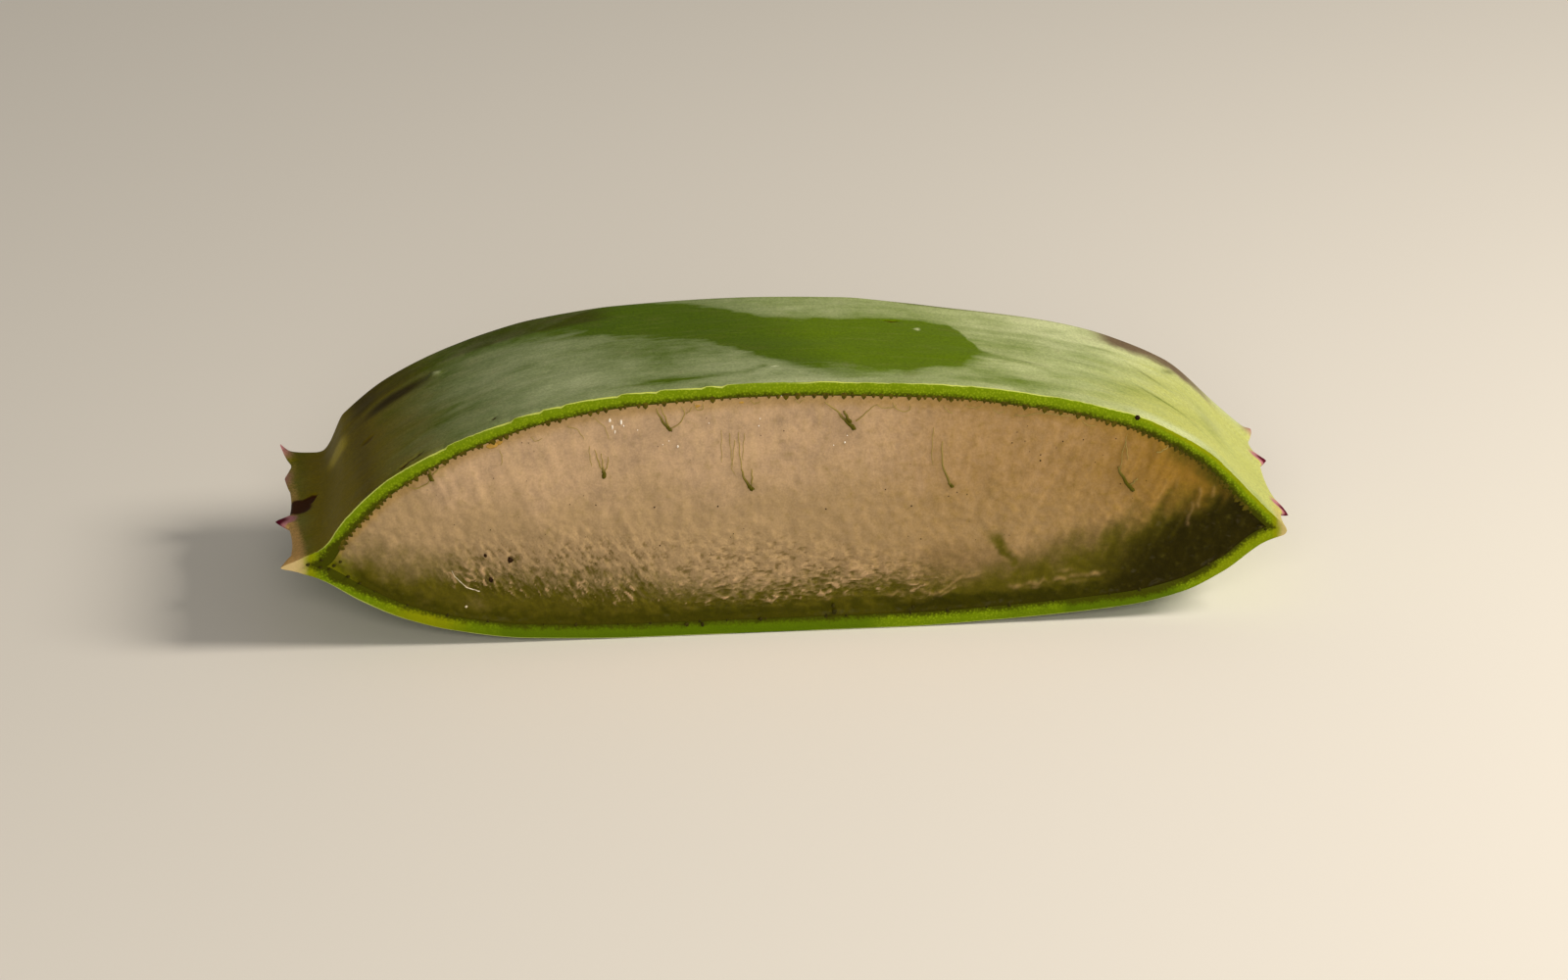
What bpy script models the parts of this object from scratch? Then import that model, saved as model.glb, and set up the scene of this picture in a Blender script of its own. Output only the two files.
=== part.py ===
"""Cross slice of an aloe vera leaf, lying on its flatter side.

X runs across the leaf, Y along it and Z up. The cut that shows faces -Y and stands square to
the leaf, and the far cut is a little oblique. The green rind is a closed ring with pale
scalloped margins and fused teeth, and the clear gel fills it.
"""

import math

import bmesh
import bpy
import numpy as np
from mathutils import Matrix

MM = 0.001

# The slice, in millimetres
MEAN_LENGTH = 23.2
FAR_CUT_SLANT = 0.02
FRONT_Y = -12.0
WIDTH_TAPER = 0.012
AXIS_DRIFT = 0.4
HEIGHT_TAPER = 0.10
MARGIN_HEIGHT = 7.5
EDGE_THICKNESS = 0.6

# Outline of the near cut as (across, height), from the left margin to the right one
UPPER_OUTLINE = (
    (-40.3, 7.8), (-37.7, 8.4), (-35.6, 10.9), (-31.8, 14.4), (-26.0, 17.7), (-19.2, 20.1),
    (-12.0, 21.2), (-2.0, 21.6), (11.3, 21.0), (19.2, 19.9), (27.2, 17.9), (33.6, 14.2),
    (38.5, 9.2), (40.7, 7.4),
)
LOWER_OUTLINE = (
    (-40.3, 7.2), (-37.5, 6.0), (-34.6, 4.2), (-31.0, 2.4), (-27.0, 1.2), (-21.0, 0.3),
    (-12.0, 0.0), (9.0, 0.0), (17.0, 0.3), (27.5, 1.1), (32.0, 2.1), (35.4, 3.8),
    (38.6, 6.1), (40.7, 6.8),
)

# Rind and gel
RIND_THICKNESS = 1.2
RIB_HEIGHT = 0.3
SEAT_GAP = 0.3
INNER_CORNER = 0.4

# Margins: they swing in between the teeth and follow each tooth's lift
MARGIN_WIDTH = 3.0
MARGIN_START = UPPER_OUTLINE[-1][0] - MARGIN_WIDTH
SCALLOP_PER_GAP = 0.065
TOOTH_BASE = 1.7
TOOTH_SINK = 1.3
TOOTH_FLATNESS = 0.62
TOOTH_SLENDERNESS = 0.8
# Each tooth: distance behind the near cut, reach, lift of the margin, lean along the leaf, rise.
# A row without reach is a tooth beyond a cut, which still shapes the margin up to that cut.
LEFT_TEETH = (
    (-0.4, 0.0, -0.2, 0.0, 0.0),
    (8.4, 1.3, 0.1, 0.0, 0.1),
    (17.7, 0.5, 0.2, 0.2, 0.1),
    (22.8, 0.7, 0.1, 0.2, 1.4),
    (31.5, 0.0, 0.1, 0.0, 0.0),
)
RIGHT_TEETH = (
    (-2.5, 0.0, 0.0, 0.0, 0.0),
    (4.8, 1.1, 0.0, -1.0, -0.8),
    (15.6, 1.1, 0.0, 0.0, 0.0),
    (20.6, 0.8, 0.0, 0.2, 0.9),
    (29.0, 0.0, 0.0, 0.0, 0.0),
)

# How finely the surfaces are divided
OUTLINE_SAMPLES = 2001
POINTS_ACROSS = 84
GEL_POINTS_ACROSS = 60
RINGS_ALONG = 15
TOOTH_RINGS = 4
TOOTH_SIDES = 8
SHARP_ANGLE = math.radians(40.0)
ROUNDING = 1e-9


def clear_scene():
    for item in list(bpy.context.scene.objects):
        bpy.data.objects.remove(item, do_unlink=True)


def make_material(name, colour, roughness):
    material = bpy.data.materials.new(name)
    material.use_nodes = True
    shader = material.node_tree.nodes["Principled BSDF"]
    shader.inputs["Base Color"].default_value = (*colour, 1.0)
    shader.inputs["Roughness"].default_value = roughness
    shader.inputs["Metallic"].default_value = 0.0
    return material


def smooth_curve(points, x):
    """Height at x of the smooth curve through the points, which never swings past them."""
    across, height = np.array(points).T
    step = np.diff(across)
    secant = np.diff(height) / step
    before, after = secant[:-1], secant[1:]
    turns = before * after <= 0.0
    total = np.where(turns, 1.0, before + after)
    inner_slopes = np.where(turns, 0.0, 2.0 * before * after / total)
    slope = np.concatenate([secant[:1], inner_slopes, secant[-1:]])
    i = np.clip(np.searchsorted(across, x) - 1, 0, len(step) - 1)
    t = (x - across[i]) / step[i]
    rise = step[i] * (slope[i] * t * (1 - t) ** 2 - slope[i + 1] * t ** 2 * (1 - t))
    return height[i] * (1 - t) ** 2 * (1 + 2 * t) + height[i + 1] * t ** 2 * (3 - 2 * t) + rise


def inset_heights(x, inset):
    """Heights of the upper and lower outline at x, moved in squarely by the inset."""
    upper = smooth_curve(UPPER_OUTLINE, x)
    lower = smooth_curve(LOWER_OUTLINE, x)
    upper -= inset * np.hypot(1.0, np.gradient(upper, x))
    lower += inset * np.hypot(1.0, np.gradient(lower, x))
    return upper, lower


def outline_loop(inset, count, least_height, rib_height=0.0):
    """Closed loop of the outline: over the top from left to right, then back underneath.

    The points lie at even distances along each side. With a rib height every second point
    stands further in.
    """
    x = np.linspace(UPPER_OUTLINE[0][0], UPPER_OUTLINE[-1][0], OUTLINE_SAMPLES)
    upper, lower = inset_heights(x, inset)
    tall = np.flatnonzero(upper - lower >= least_height - ROUNDING)
    span = slice(tall[0], tall[-1] + 1)
    x, upper, lower = x[span], upper[span], lower[span]
    sides = []
    for height, inward in ((upper, -1.0), (lower, 1.0)):
        travel = np.concatenate([[0.0], np.cumsum(np.hypot(np.diff(x), np.diff(height)))])
        even = np.linspace(0.0, travel[-1], count)
        across, up = np.interp(even, travel, x), np.interp(even, travel, height)
        ribs = np.where(np.arange(count) % 2 == 1, rib_height, 0.0)
        ribs[[0, -1]] = 0.0
        sides.append(np.stack([across, up + inward * ribs], axis=1))
    return np.concatenate([sides[0], sides[1][::-1]])


def margin_shift(teeth, depth):
    """Sideways swing and lift of a margin at a depth behind the near cut."""
    table = np.array(teeth)
    place = table[:, 0]
    gap = np.interp(depth, place[:-1], np.diff(place))
    phase = np.interp(depth, place, np.arange(len(place)))
    swing = -SCALLOP_PER_GAP * gap * np.abs(np.sin(math.pi * phase))
    return swing, np.interp(depth, place, table[:, 2])


def place_loop(loop, share):
    """Points of the loop at a share of the way from the near cut to the far cut.

    Towards the far cut the leaf gets narrower and its dome lower, while its underside stays on
    the ground. Each margin swings and lifts, by more the nearer a point is to its edge.
    """
    x = loop[:, 0] * (1.0 - WIDTH_TAPER * share) + AXIS_DRIFT * share
    z = loop[:, 1].copy()
    above = z > MARGIN_HEIGHT
    z[above] = MARGIN_HEIGHT + (z[above] - MARGIN_HEIGHT) * (1.0 - HEIGHT_TAPER * share)
    outward = np.clip((np.abs(loop[:, 0]) - MARGIN_START) / MARGIN_WIDTH, 0.0, 1.0)
    weight = outward ** 2 * (3.0 - 2.0 * outward)
    depth = share * (MEAN_LENGTH - FAR_CUT_SLANT * x)
    for side, teeth in ((-1.0, LEFT_TEETH), (1.0, RIGHT_TEETH)):
        here = weight * (loop[:, 0] * side > 0.0)
        swing, lift = margin_shift(teeth, depth)
        x = x + side * here * swing
        z = z + here * lift
    y = FRONT_Y + share * (MEAN_LENGTH - FAR_CUT_SLANT * x)
    return np.stack([x, y, z], axis=1)


def ring_faces(count, low, high):
    """Quads that join two closed rows of points, given the index where each row starts."""
    a = np.arange(count)
    b = (a + 1) % count
    return np.stack([low + a, low + b, high + b, high + a], axis=1).tolist()


def make_object(name, points, faces, material, collection):
    mesh = bpy.data.meshes.new(name)
    mesh.from_pydata((np.asarray(points) * MM).tolist(), [], faces)
    shape = bmesh.new()
    shape.from_mesh(mesh)
    bmesh.ops.recalc_face_normals(shape, faces=shape.faces)
    shape.to_mesh(mesh)
    shape.free()
    mesh.materials.append(material)
    item = bpy.data.objects.new(name, mesh)
    collection.objects.link(item)
    return item


def make_rind_ring(material, collection):
    """Outer skin in rings along the leaf, ribbed inner wall, and the two cut faces between."""
    outer = outline_loop(0.0, POINTS_ACROSS, EDGE_THICKNESS)
    inner = outline_loop(RIND_THICKNESS, POINTS_ACROSS, INNER_CORNER, RIB_HEIGHT)
    count = len(outer)
    rings = [place_loop(outer, share) for share in np.linspace(0.0, 1.0, RINGS_ALONG)]
    rings += [place_loop(inner, 1.0), place_loop(inner, 0.0)]
    faces = []
    for i in range(len(rings)):
        faces += ring_faces(count, i * count, (i + 1) % len(rings) * count)
    return make_object("rind", np.concatenate(rings), faces, material, collection)


def make_gel(material, collection):
    """Gel, set in by the rind, its ribs and the seat gap."""
    loop = outline_loop(RIND_THICKNESS + RIB_HEIGHT + SEAT_GAP, GEL_POINTS_ACROSS, INNER_CORNER)
    count = len(loop)
    points = np.concatenate([place_loop(loop, 0.0), place_loop(loop, 1.0)])
    faces = ring_faces(count, 0, count)
    faces += [list(range(count)), list(range(2 * count - 1, count - 1, -1))]
    return make_object("gel", points, faces, material, collection)


def margin_edge(side, depth):
    """Middle of the margin's edge at a depth behind the near cut."""
    end = 0 if side < 0.0 else -1
    across = UPPER_OUTLINE[end][0]
    height = (UPPER_OUTLINE[end][1] + LOWER_OUTLINE[end][1]) / 2
    share = depth / (MEAN_LENGTH - FAR_CUT_SLANT * across)
    return place_loop(np.array([(across, height)]), share)[0]


def make_tooth(side, tooth, material, collection):
    """Flattened thorn that bends as it narrows, with its root sunk into the margin."""
    depth, reach, _, lean, rise = tooth
    root = margin_edge(side, depth) - np.array([side * TOOTH_SINK, 0.0, 0.0])
    angle = np.arange(TOOTH_SIDES) * math.tau / TOOTH_SIDES
    rows = []
    for t in np.linspace(0.0, 1.0, TOOTH_RINGS, endpoint=False):
        centre = root + np.array([side * (TOOTH_SINK + reach) * t, lean * t ** 2, rise * t ** 2])
        radius = TOOTH_BASE / 2 * (1.0 - t) ** TOOTH_SLENDERNESS
        ring = np.stack([
            np.zeros(TOOTH_SIDES),
            radius * np.cos(angle),
            radius * TOOTH_FLATNESS * np.sin(angle),
        ], axis=1)
        rows.append(centre + ring)
    tip = root + np.array([side * (TOOTH_SINK + reach), lean, rise])
    points = np.concatenate(rows + [tip[None, :]])
    faces = [list(range(TOOTH_SIDES))]
    for i in range(TOOTH_RINGS - 1):
        faces += ring_faces(TOOTH_SIDES, i * TOOTH_SIDES, (i + 1) * TOOTH_SIDES)
    last = (TOOTH_RINGS - 1) * TOOTH_SIDES
    faces += [[last + i, last + (i + 1) % TOOTH_SIDES, len(points) - 1] for i in range(TOOTH_SIDES)]
    return make_object("tooth", points, faces, material, collection)


def fuse_teeth(rind, material):
    """Join every tooth of both margins to the rind, so that it is one body."""
    teeth = bpy.data.collections.new("teeth")
    bpy.context.scene.collection.children.link(teeth)
    for side, row in ((-1.0, LEFT_TEETH), (1.0, RIGHT_TEETH)):
        for tooth in row:
            if tooth[1] > 0.0:
                make_tooth(side, tooth, material, teeth)
    union = rind.modifiers.new("teeth", "BOOLEAN")
    union.operation = "UNION"
    union.operand_type = "COLLECTION"
    union.collection = teeth
    union.solver = "EXACT"
    bpy.context.view_layer.objects.active = rind
    bpy.ops.object.modifier_apply(modifier=union.name)
    for item in list(teeth.objects):
        bpy.data.objects.remove(item, do_unlink=True)
    bpy.data.collections.remove(teeth)


def centre_on_origin(items):
    """Move the meshes so that the middle of the whole box stands over the origin."""
    corners = np.array([vertex.co for item in items for vertex in item.data.vertices])
    middle = (corners.min(axis=0) + corners.max(axis=0)) / 2
    for item in items:
        item.data.transform(Matrix.Translation((-middle[0], -middle[1], 0.0)))


def shade(item):
    item.data.shade_smooth()
    item.data.set_sharp_from_angle(angle=SHARP_ANGLE)


def main():
    clear_scene()
    collection = bpy.context.scene.collection
    rind_green = make_material("rind", (0.16, 0.27, 0.045), 0.42)
    gel_beige = make_material("gel", (0.46, 0.29, 0.15), 0.18)
    rind = make_rind_ring(rind_green, collection)
    fuse_teeth(rind, rind_green)
    gel = make_gel(gel_beige, collection)
    centre_on_origin([rind, gel])
    for item in (rind, gel):
        shade(item)


main()
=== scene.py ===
import math

import bmesh
import bpy
import numpy as np
from mathutils import Matrix, Vector


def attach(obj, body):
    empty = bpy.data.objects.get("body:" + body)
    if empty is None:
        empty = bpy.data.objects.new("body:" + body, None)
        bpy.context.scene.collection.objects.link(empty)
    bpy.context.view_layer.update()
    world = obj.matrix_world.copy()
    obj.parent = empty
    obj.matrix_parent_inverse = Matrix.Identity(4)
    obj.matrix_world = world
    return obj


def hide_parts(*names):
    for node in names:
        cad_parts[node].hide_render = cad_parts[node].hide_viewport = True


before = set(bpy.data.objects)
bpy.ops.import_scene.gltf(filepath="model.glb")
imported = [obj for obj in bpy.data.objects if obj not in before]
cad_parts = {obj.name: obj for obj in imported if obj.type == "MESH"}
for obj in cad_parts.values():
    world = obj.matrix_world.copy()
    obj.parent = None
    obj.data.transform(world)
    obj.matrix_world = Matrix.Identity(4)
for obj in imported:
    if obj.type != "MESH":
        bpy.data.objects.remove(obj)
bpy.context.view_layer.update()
mm = 0.001

# The leaf slice in millimetres. Depth counts from the near cut back to the far one.
leaf = {
    "length": 23.2,
    "farCutSlant": 0.02,          # the far cut runs a little askew
    "nearCutY": -12.0,
    "centring": (-0.225, 0.008),  # brings the middle of the box over the origin
    "widthTaper": 0.012,
    "axisDrift": 0.4,
    "domeTaper": 0.1,
    "shoulderSink": 0.85,         # the left flange flattens out towards the far cut
    "shoulderSpan": (-35.5, -37.8),
    "rightDip": 0.04,             # and the dome sinks a little more right of the middle
    "dipSpans": ((6.0, 16.0), (36.0, 29.0)),
    "marginHeight": 7.5,
    "upperOutline": (
        (-40.3, 7.8), (-37.7, 8.65), (-35.6, 11.25), (-31.8, 14.7), (-26.0, 17.85), (-19.2, 20.1),
        (-12.0, 21.2), (-2.0, 21.6), (11.3, 21.0), (19.2, 19.9), (27.2, 17.9), (33.6, 14.45),
        (38.5, 9.45), (40.7, 7.4),
    ),
    "lowerOutline": (
        (-40.3, 7.2), (-37.5, 6.0), (-34.6, 4.2), (-31.0, 2.4), (-27.0, 1.2), (-21.0, 0.3),
        (-12.0, 0.0), (9.0, 0.0), (17.0, 0.3), (27.5, 1.1), (32.0, 2.1), (35.4, 3.8),
        (38.6, 6.1), (40.7, 6.8),
    ),
    "marginWidth": 3.0,
    "scallops": (0.045, 0.035),   # how far the margin draws in between two teeth, left and right
    # the teeth that shape the margin, also beyond both cuts: depth, lift of the margin
    "leftTeeth": ((-0.4, -0.2), (8.4, 0.1), (17.7, 0.2), (22.8, 0.1), (31.5, 0.1)),
    "rightTeeth": ((-2.5, 0.0), (4.8, 0.0), (15.6, 0.0), (20.6, 0.0), (29.0, 0.0)),
}
leftEdge, rightEdge = leaf["upperOutline"][0][0], leaf["upperOutline"][-1][0]


# Shapes worked out as whole arrays

def ramp(low, high, value):
    # 0 below low, 1 above high, and a smooth S between them
    t = np.clip((value - low) / (high - low), 0.0, 1.0)
    return t * t * (3.0 - 2.0 * t)


def hump(value, middle, width):
    # bell curve, 1 at the middle and about a third one width away
    return np.exp(-((value - middle) / width) ** 2)


def bellAt(bell, x, y):
    # a soft round mark: strength, then middle and width across the leaf, and along it
    strength, middleX, widthX, middleY, widthY = bell
    return strength * hump(x, middleX, widthX) * hump(y, middleY, widthY)


def smoothCurve(points, x):
    # cubic through the points whose slope there is the harmonic mean of both sides, so it never overshoots
    across, height = np.array(points).T
    step = np.diff(across)
    secant = np.diff(height) / step
    before, after = secant[:-1], secant[1:]
    turns = before * after <= 0.0
    total = np.where(turns, 1.0, before + after)
    slope = np.concatenate([secant[:1], np.where(turns, 0.0, 2.0 * before * after / total), secant[-1:]])
    i = np.clip(np.searchsorted(across, x) - 1, 0, len(step) - 1)
    t = (x - across[i]) / step[i]
    rise = step[i] * (slope[i] * t * (1 - t) ** 2 - slope[i + 1] * t ** 2 * (1 - t))
    return height[i] * (1 - t) ** 2 * (1 + 2 * t) + height[i + 1] * t ** 2 * (3 - 2 * t) + rise


def latticeNoise(x, y, seed):
    # random heights on a square lattice with steps of 1, blended smoothly between its corners
    size = (97, 89)
    table = np.random.default_rng(seed).uniform(-1.0, 1.0, size)
    i, j = np.floor(x).astype(int), np.floor(y).astype(int)
    u, v = x - i, y - j
    u, v = u * u * (3.0 - 2.0 * u), v * v * (3.0 - 2.0 * v)
    (left, right), (low, high) = ((k % n, (k + 1) % n) for k, n in zip((i, j), size))
    near = table[left, low] * (1 - u) + table[right, low] * u
    far = table[left, high] * (1 - u) + table[right, high] * u
    return near * (1 - v) + far * v


def layeredNoise(x, y, seed, layers=3):
    # each layer is twice as fine and half as strong as the one before
    return sum(latticeNoise(x * 2 ** k + 7.3 * k, y * 2 ** k - 3.1 * k, seed + k) / 2 ** k
               for k in range(layers))


def crestNoise(x, y, seed, layers=2):
    # 1 along wandering lines, where the noise passes through zero, falling evenly to 0 on both sides
    return 1.0 - np.minimum(1.0, 1.25 * np.abs(layeredNoise(x, y, seed, layers)))


def alongLine(points, x):
    # height of a line of points at x, level beyond both ends
    across, height = np.array(points).T
    return np.interp(x, across, height)


def insetHeights(x, inset):
    # both outlines moved in squarely by the inset
    upper = smoothCurve(leaf["upperOutline"], x)
    lower = smoothCurve(leaf["lowerOutline"], x)
    upper = upper - inset * np.hypot(1.0, np.gradient(upper, x))
    lower = lower + inset * np.hypot(1.0, np.gradient(lower, x))
    return upper, lower


def insetEnds(inset):
    # where the two inset outlines meet, left and right
    x = np.linspace(leftEdge, rightEdge, 4001)
    upper, lower = insetHeights(x, inset)
    inside = np.flatnonzero(upper > lower)
    return x[inside[0]], x[inside[-1]]


def marginShift(teeth, scallop, depth):
    # between two teeth the margin swings in by a half wave, and follows the lift of both
    place, lift = np.array(teeth).T
    gap = np.interp(depth, place[:-1], np.diff(place))
    phase = np.interp(depth, place, np.arange(len(place)))
    return -scallop * gap * np.abs(np.sin(math.pi * phase)), np.interp(depth, place, lift)


def placeInLeaf(across, height, share):
    # a point of the near outline, carried to a share of the way to the far cut:
    # the leaf narrows, its dome sinks, and its margins swing and lift with the teeth
    across, height, share = np.broadcast_arrays(across, height, share)
    x = across * (1.0 - leaf["widthTaper"] * share) + leaf["axisDrift"] * share
    shoulder = leaf["shoulderSink"] * ramp(*leaf["shoulderSpan"], across)
    dip = leaf["rightDip"] * math.prod(ramp(*span, across) for span in leaf["dipSpans"])
    sink = leaf["domeTaper"] * share + shoulder * share ** 2 + dip * share ** 2
    above = np.where(height > leaf["marginHeight"], 1.0 - sink, 1.0)
    z = leaf["marginHeight"] + (height - leaf["marginHeight"]) * above
    weight = ramp(rightEdge - leaf["marginWidth"], rightEdge, np.abs(across))
    depth = share * (leaf["length"] - leaf["farCutSlant"] * x)
    for side, teeth, scallop in zip((-1.0, 1.0), ("leftTeeth", "rightTeeth"), leaf["scallops"]):
        swing, lift = marginShift(leaf[teeth], scallop, depth)
        here = weight * (across * side > 0.0)
        x = x + side * here * swing
        z = z + here * lift
    y = leaf["nearCutY"] + share * (leaf["length"] - leaf["farCutSlant"] * x)
    return np.stack([x + leaf["centring"][0], y + leaf["centring"][1], z], axis=-1)


# Meshes and objects

def gridFaces(rows, columns, wrapRows, wrapColumns):
    # quads between neighbours on a grid of rows and columns, which may close on itself
    r = np.arange(rows if wrapRows else rows - 1)[:, None]
    c = np.arange(columns if wrapColumns else columns - 1)[None, :]
    nextR, nextC = (r + 1) % rows, (c + 1) % columns
    quads = [r * columns + c, r * columns + nextC, nextR * columns + nextC, nextR * columns + c]
    return np.stack(quads, axis=-1).reshape(-1, 4)


def facingOut(points, faces):
    # lists of faces turned as one, so that they enclose a volume above zero
    volume = 0.0
    for group in faces:
        corner = points[group]
        for k in range(1, group.shape[1] - 1):
            volume += np.einsum("ij,ij->i", corner[:, 0], np.cross(corner[:, k], corner[:, k + 1])).sum()
    return faces if volume > 0.0 else [group[:, ::-1] for group in faces]


def addObject(name, data):
    made = bpy.data.objects.new(name, data)
    bpy.context.scene.collection.objects.link(made)
    return made


def makePiece(name, points, faces, materials, attributes=None, faceMaterial=None, weld=False):
    # points in millimetres, faces as a list of arrays, attributes by name with one value for each point
    points = np.asarray(points, float).reshape(-1, 3)
    faces = facingOut(points, faces)
    mesh = bpy.data.meshes.new(name)
    mesh.from_pydata((points * mm).tolist(), [], [face for group in faces for face in group.tolist()])
    for attribute, values in (attributes or {}).items():
        values = np.asarray(values, np.float32)
        kind, key = ("FLOAT", "value") if values.size == len(points) else ("FLOAT_VECTOR", "vector")
        mesh.attributes.new(attribute, kind, "POINT").data.foreach_set(key, values.ravel())
    if faceMaterial is not None:
        mesh.polygons.foreach_set("material_index", np.asarray(faceMaterial, np.int32).ravel())
    for material in materials:
        mesh.materials.append(material)
    if weld:
        shape = bmesh.new()
        shape.from_mesh(mesh)
        bmesh.ops.remove_doubles(shape, verts=shape.verts, dist=0.00001 * mm)
        shape.to_mesh(mesh)
        shape.free()
    mesh.shade_smooth()
    piece = addObject(name, mesh)
    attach(piece, "root")
    print(f"{name}: {sum(len(p.vertices) - 2 for p in mesh.polygons)} triangles")
    return piece


# Materials

def linear(hexColour):
    # sRGB hex to linear red, green, blue and alpha
    parts = [int(hexColour[k:k + 2], 16) / 255.0 for k in (0, 2, 4)]
    return (*[c / 12.92 if c <= 0.04045 else ((c + 0.055) / 1.055) ** 2.4 for c in parts], 1.0)


def setInputs(tree, node, inputs):
    # each input gets a value, a colour given in hex, or a link from a socket
    for key, value in inputs.items():
        if isinstance(value, bpy.types.NodeSocket):
            tree.links.new(value, node.inputs[key])
        else:
            node.inputs[key].default_value = linear(value) if isinstance(value, str) else value


def addNode(tree, kind, inputs, output=0, **settings):
    # one node with its settings and inputs; gives the socket of its output
    node = tree.nodes.new("ShaderNode" + kind)
    for setting, value in settings.items():
        setattr(node, setting, value)
    setInputs(tree, node, inputs)
    return node.outputs[output]


def startMaterial(name):
    material = bpy.data.materials.new(name)
    material.use_nodes = True
    tree = material.node_tree
    place = addNode(tree, "TexCoord", {}, "Object")
    place = addNode(tree, "Mapping", {"Vector": place, "Scale": (1000, 1000, 1000)})   # in millimetres
    return material, tree, tree.nodes["Principled BSDF"], place


def layColours(tree, colour, finish, layers):
    # colours laid over each other; each row: the colour, a noise, its strength in the mask, where the colour
    # begins and where it is full, its greatest share, and the mask where it isn't named as the colour is
    for name, noise, strength, low, high, most, *mask in layers:
        mask = addNode(tree, "Attribute", {}, "Fac", attribute_name=mask[0] if mask else name)
        wavy = addNode(tree, "Math", {0: noise, 1: strength, 2: mask}, operation="MULTIPLY_ADD")
        share = addNode(tree, "MapRange", {0: wavy, 1: low + strength / 2, 2: high + strength / 2, 4: most},
                        interpolation_type="SMOOTHSTEP")
        colour = addNode(tree, "Mix", {0: share, 6: colour, 7: finish[name]}, 2, data_type="RGBA")
    return colour


skinFinish = {
    "litTissueGreen": "597400",      # tissue where the wax was rubbed off, painted lighter as lit on the right, where the key light falls
    "shadedTissueGreen": "486100",        # and the same tissue painted darker as shading elsewhere
    "bloom": "b5c29f",            # thin grey wax
    # the wax painted lighter on the right, where the key light falls
    "litBloom": "c6d3a4",
    # dark olive of the dark marks and of painted shading
    "darkMarksAndShade": "342c00",
    "olive": "776b06",
    "yellow": "b1ba6a",
    "pale": "c09c62",
    "tooth": "ab7480",
    "toothTip": "550a24",
    "scar": "3b1c02",
    "bruise": "6a5c4a",
    "amber": "a89a2c",
    "roughness": 0.52,
    "rubbedRoughness": 0.4,
}


def makeSkinMaterial():
    # leaf epidermis with a wiped wax bloom: matt and greyish, satin and deep green where it is rubbed
    material, tree, shader, place = startMaterial("waxyLeafSkin")
    rub, wax, paintedLight = (addNode(tree, "Attribute", {}, "Fac", attribute_name=name)
                       for name in ("rub", "wax", "paintedLight"))
    # wiping marks run across the leaf, a few millimetres long and about half a millimetre wide
    across = addNode(tree, "Mapping", {"Vector": place, "Scale": (0.3, 1.7, 0.9)})
    wiped = addNode(tree, "TexNoise", {"Vector": across, "Scale": 1.0, "Detail": 5.0, "Roughness": 0.65})
    # grain of the epidermis, drawn at 0.1 to 0.2 mm, coarser than the real 0.05 mm cells
    grain = addNode(tree, "TexNoise", {"Vector": place, "Scale": 4.5, "Detail": 3.0, "Roughness": 0.65})
    mottle = addNode(tree, "TexNoise", {"Vector": place, "Scale": 0.45, "Detail": 5.0, "Roughness": 0.6})
    # the edge of the rubbed patch is ragged, a little drawn out along the wiping marks
    streaked = addNode(tree, "Math", {0: wiped, 1: 4.5, 2: rub}, operation="MULTIPLY_ADD")
    ragged = addNode(tree, "Math", {0: mottle, 1: 4.0, 2: streaked}, operation="MULTIPLY_ADD")
    rubbed = addNode(tree, "MapRange", {0: ragged, 1: 2.75, 2: 5.75}, interpolation_type="SMOOTHSTEP")
    # painted light: tissue and wax turn towards their lit copies on the right and their darker copies
    # elsewhere
    litShare = addNode(tree, "MapRange", {0: paintedLight, 1: 0.0, 2: 0.2})
    tissue = addNode(tree, "Mix", {0: litShare, 6: skinFinish["shadedTissueGreen"], 7: skinFinish["litTissueGreen"]}, 2,
                     data_type="RGBA")
    waxColour = addNode(tree, "Mix", {0: paintedLight, 6: skinFinish["bloom"], 7: skinFinish["litBloom"]}, 2,
                        data_type="RGBA")
    # wax lies thicker and thinner in the marks and in clouds
    uneven = addNode(tree, "Math", {0: wiped, 1: 0.4, 2: wax}, operation="MULTIPLY_ADD")
    cloudy = addNode(tree, "Math", {0: mottle, 1: 0.6, 2: uneven}, operation="MULTIPLY_ADD")
    worn = addNode(tree, "Math", {0: rubbed, 1: -0.55, 2: cloudy}, operation="MULTIPLY_ADD")
    covered = addNode(tree, "MapRange", {0: worn, 1: 0.5, 2: 1.5})
    colour = addNode(tree, "Mix", {0: covered, 6: tissue, 7: waxColour}, 2, data_type="RGBA")
    colour = layColours(tree, colour, skinFinish, (
        ("olive", mottle, 0.6, 0.0, 1.0, 1.0), ("darkMarksAndShade", wiped, 0.7, 0.0, 1.0, 1.0),
        ("yellow", wiped, 0.9, 0.0, 1.0, 1.0), ("amber", mottle, 0.3, 0.1, 0.9, 1.0),
        ("bruise", mottle, 0.8, 0.0, 1.0, 1.0), ("pale", grain, 0.3, 0.25, 0.85, 1.0),
        ("tooth", grain, 0.1, 0.1, 0.4, 1.0), ("toothTip", grain, 0.1, 0.42, 0.7, 1.0, "tooth"),
        ("scar", mottle, 0.6, 0.1, 0.85, 1.0),
    ))
    fine = addNode(tree, "MapRange", {0: grain, 1: 0.33, 2: 0.67, 3: 0.83, 4: 1.2})
    setInputs(tree, shader, {
        "Base Color": addNode(tree, "VectorMath", {0: colour, "Scale": fine}, operation="SCALE"),
        "Roughness": addNode(tree, "MapRange", {0: rubbed, 3: skinFinish["roughness"],
                                                4: skinFinish["rubbedRoughness"]}),
        "Normal": addNode(tree, "Bump", {"Height": grain, "Strength": 0.3, "Distance": 0.04 * mm}),
        "IOR": 1.45,
        "Specular IOR Level": 0.05,
    })
    return material


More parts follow.
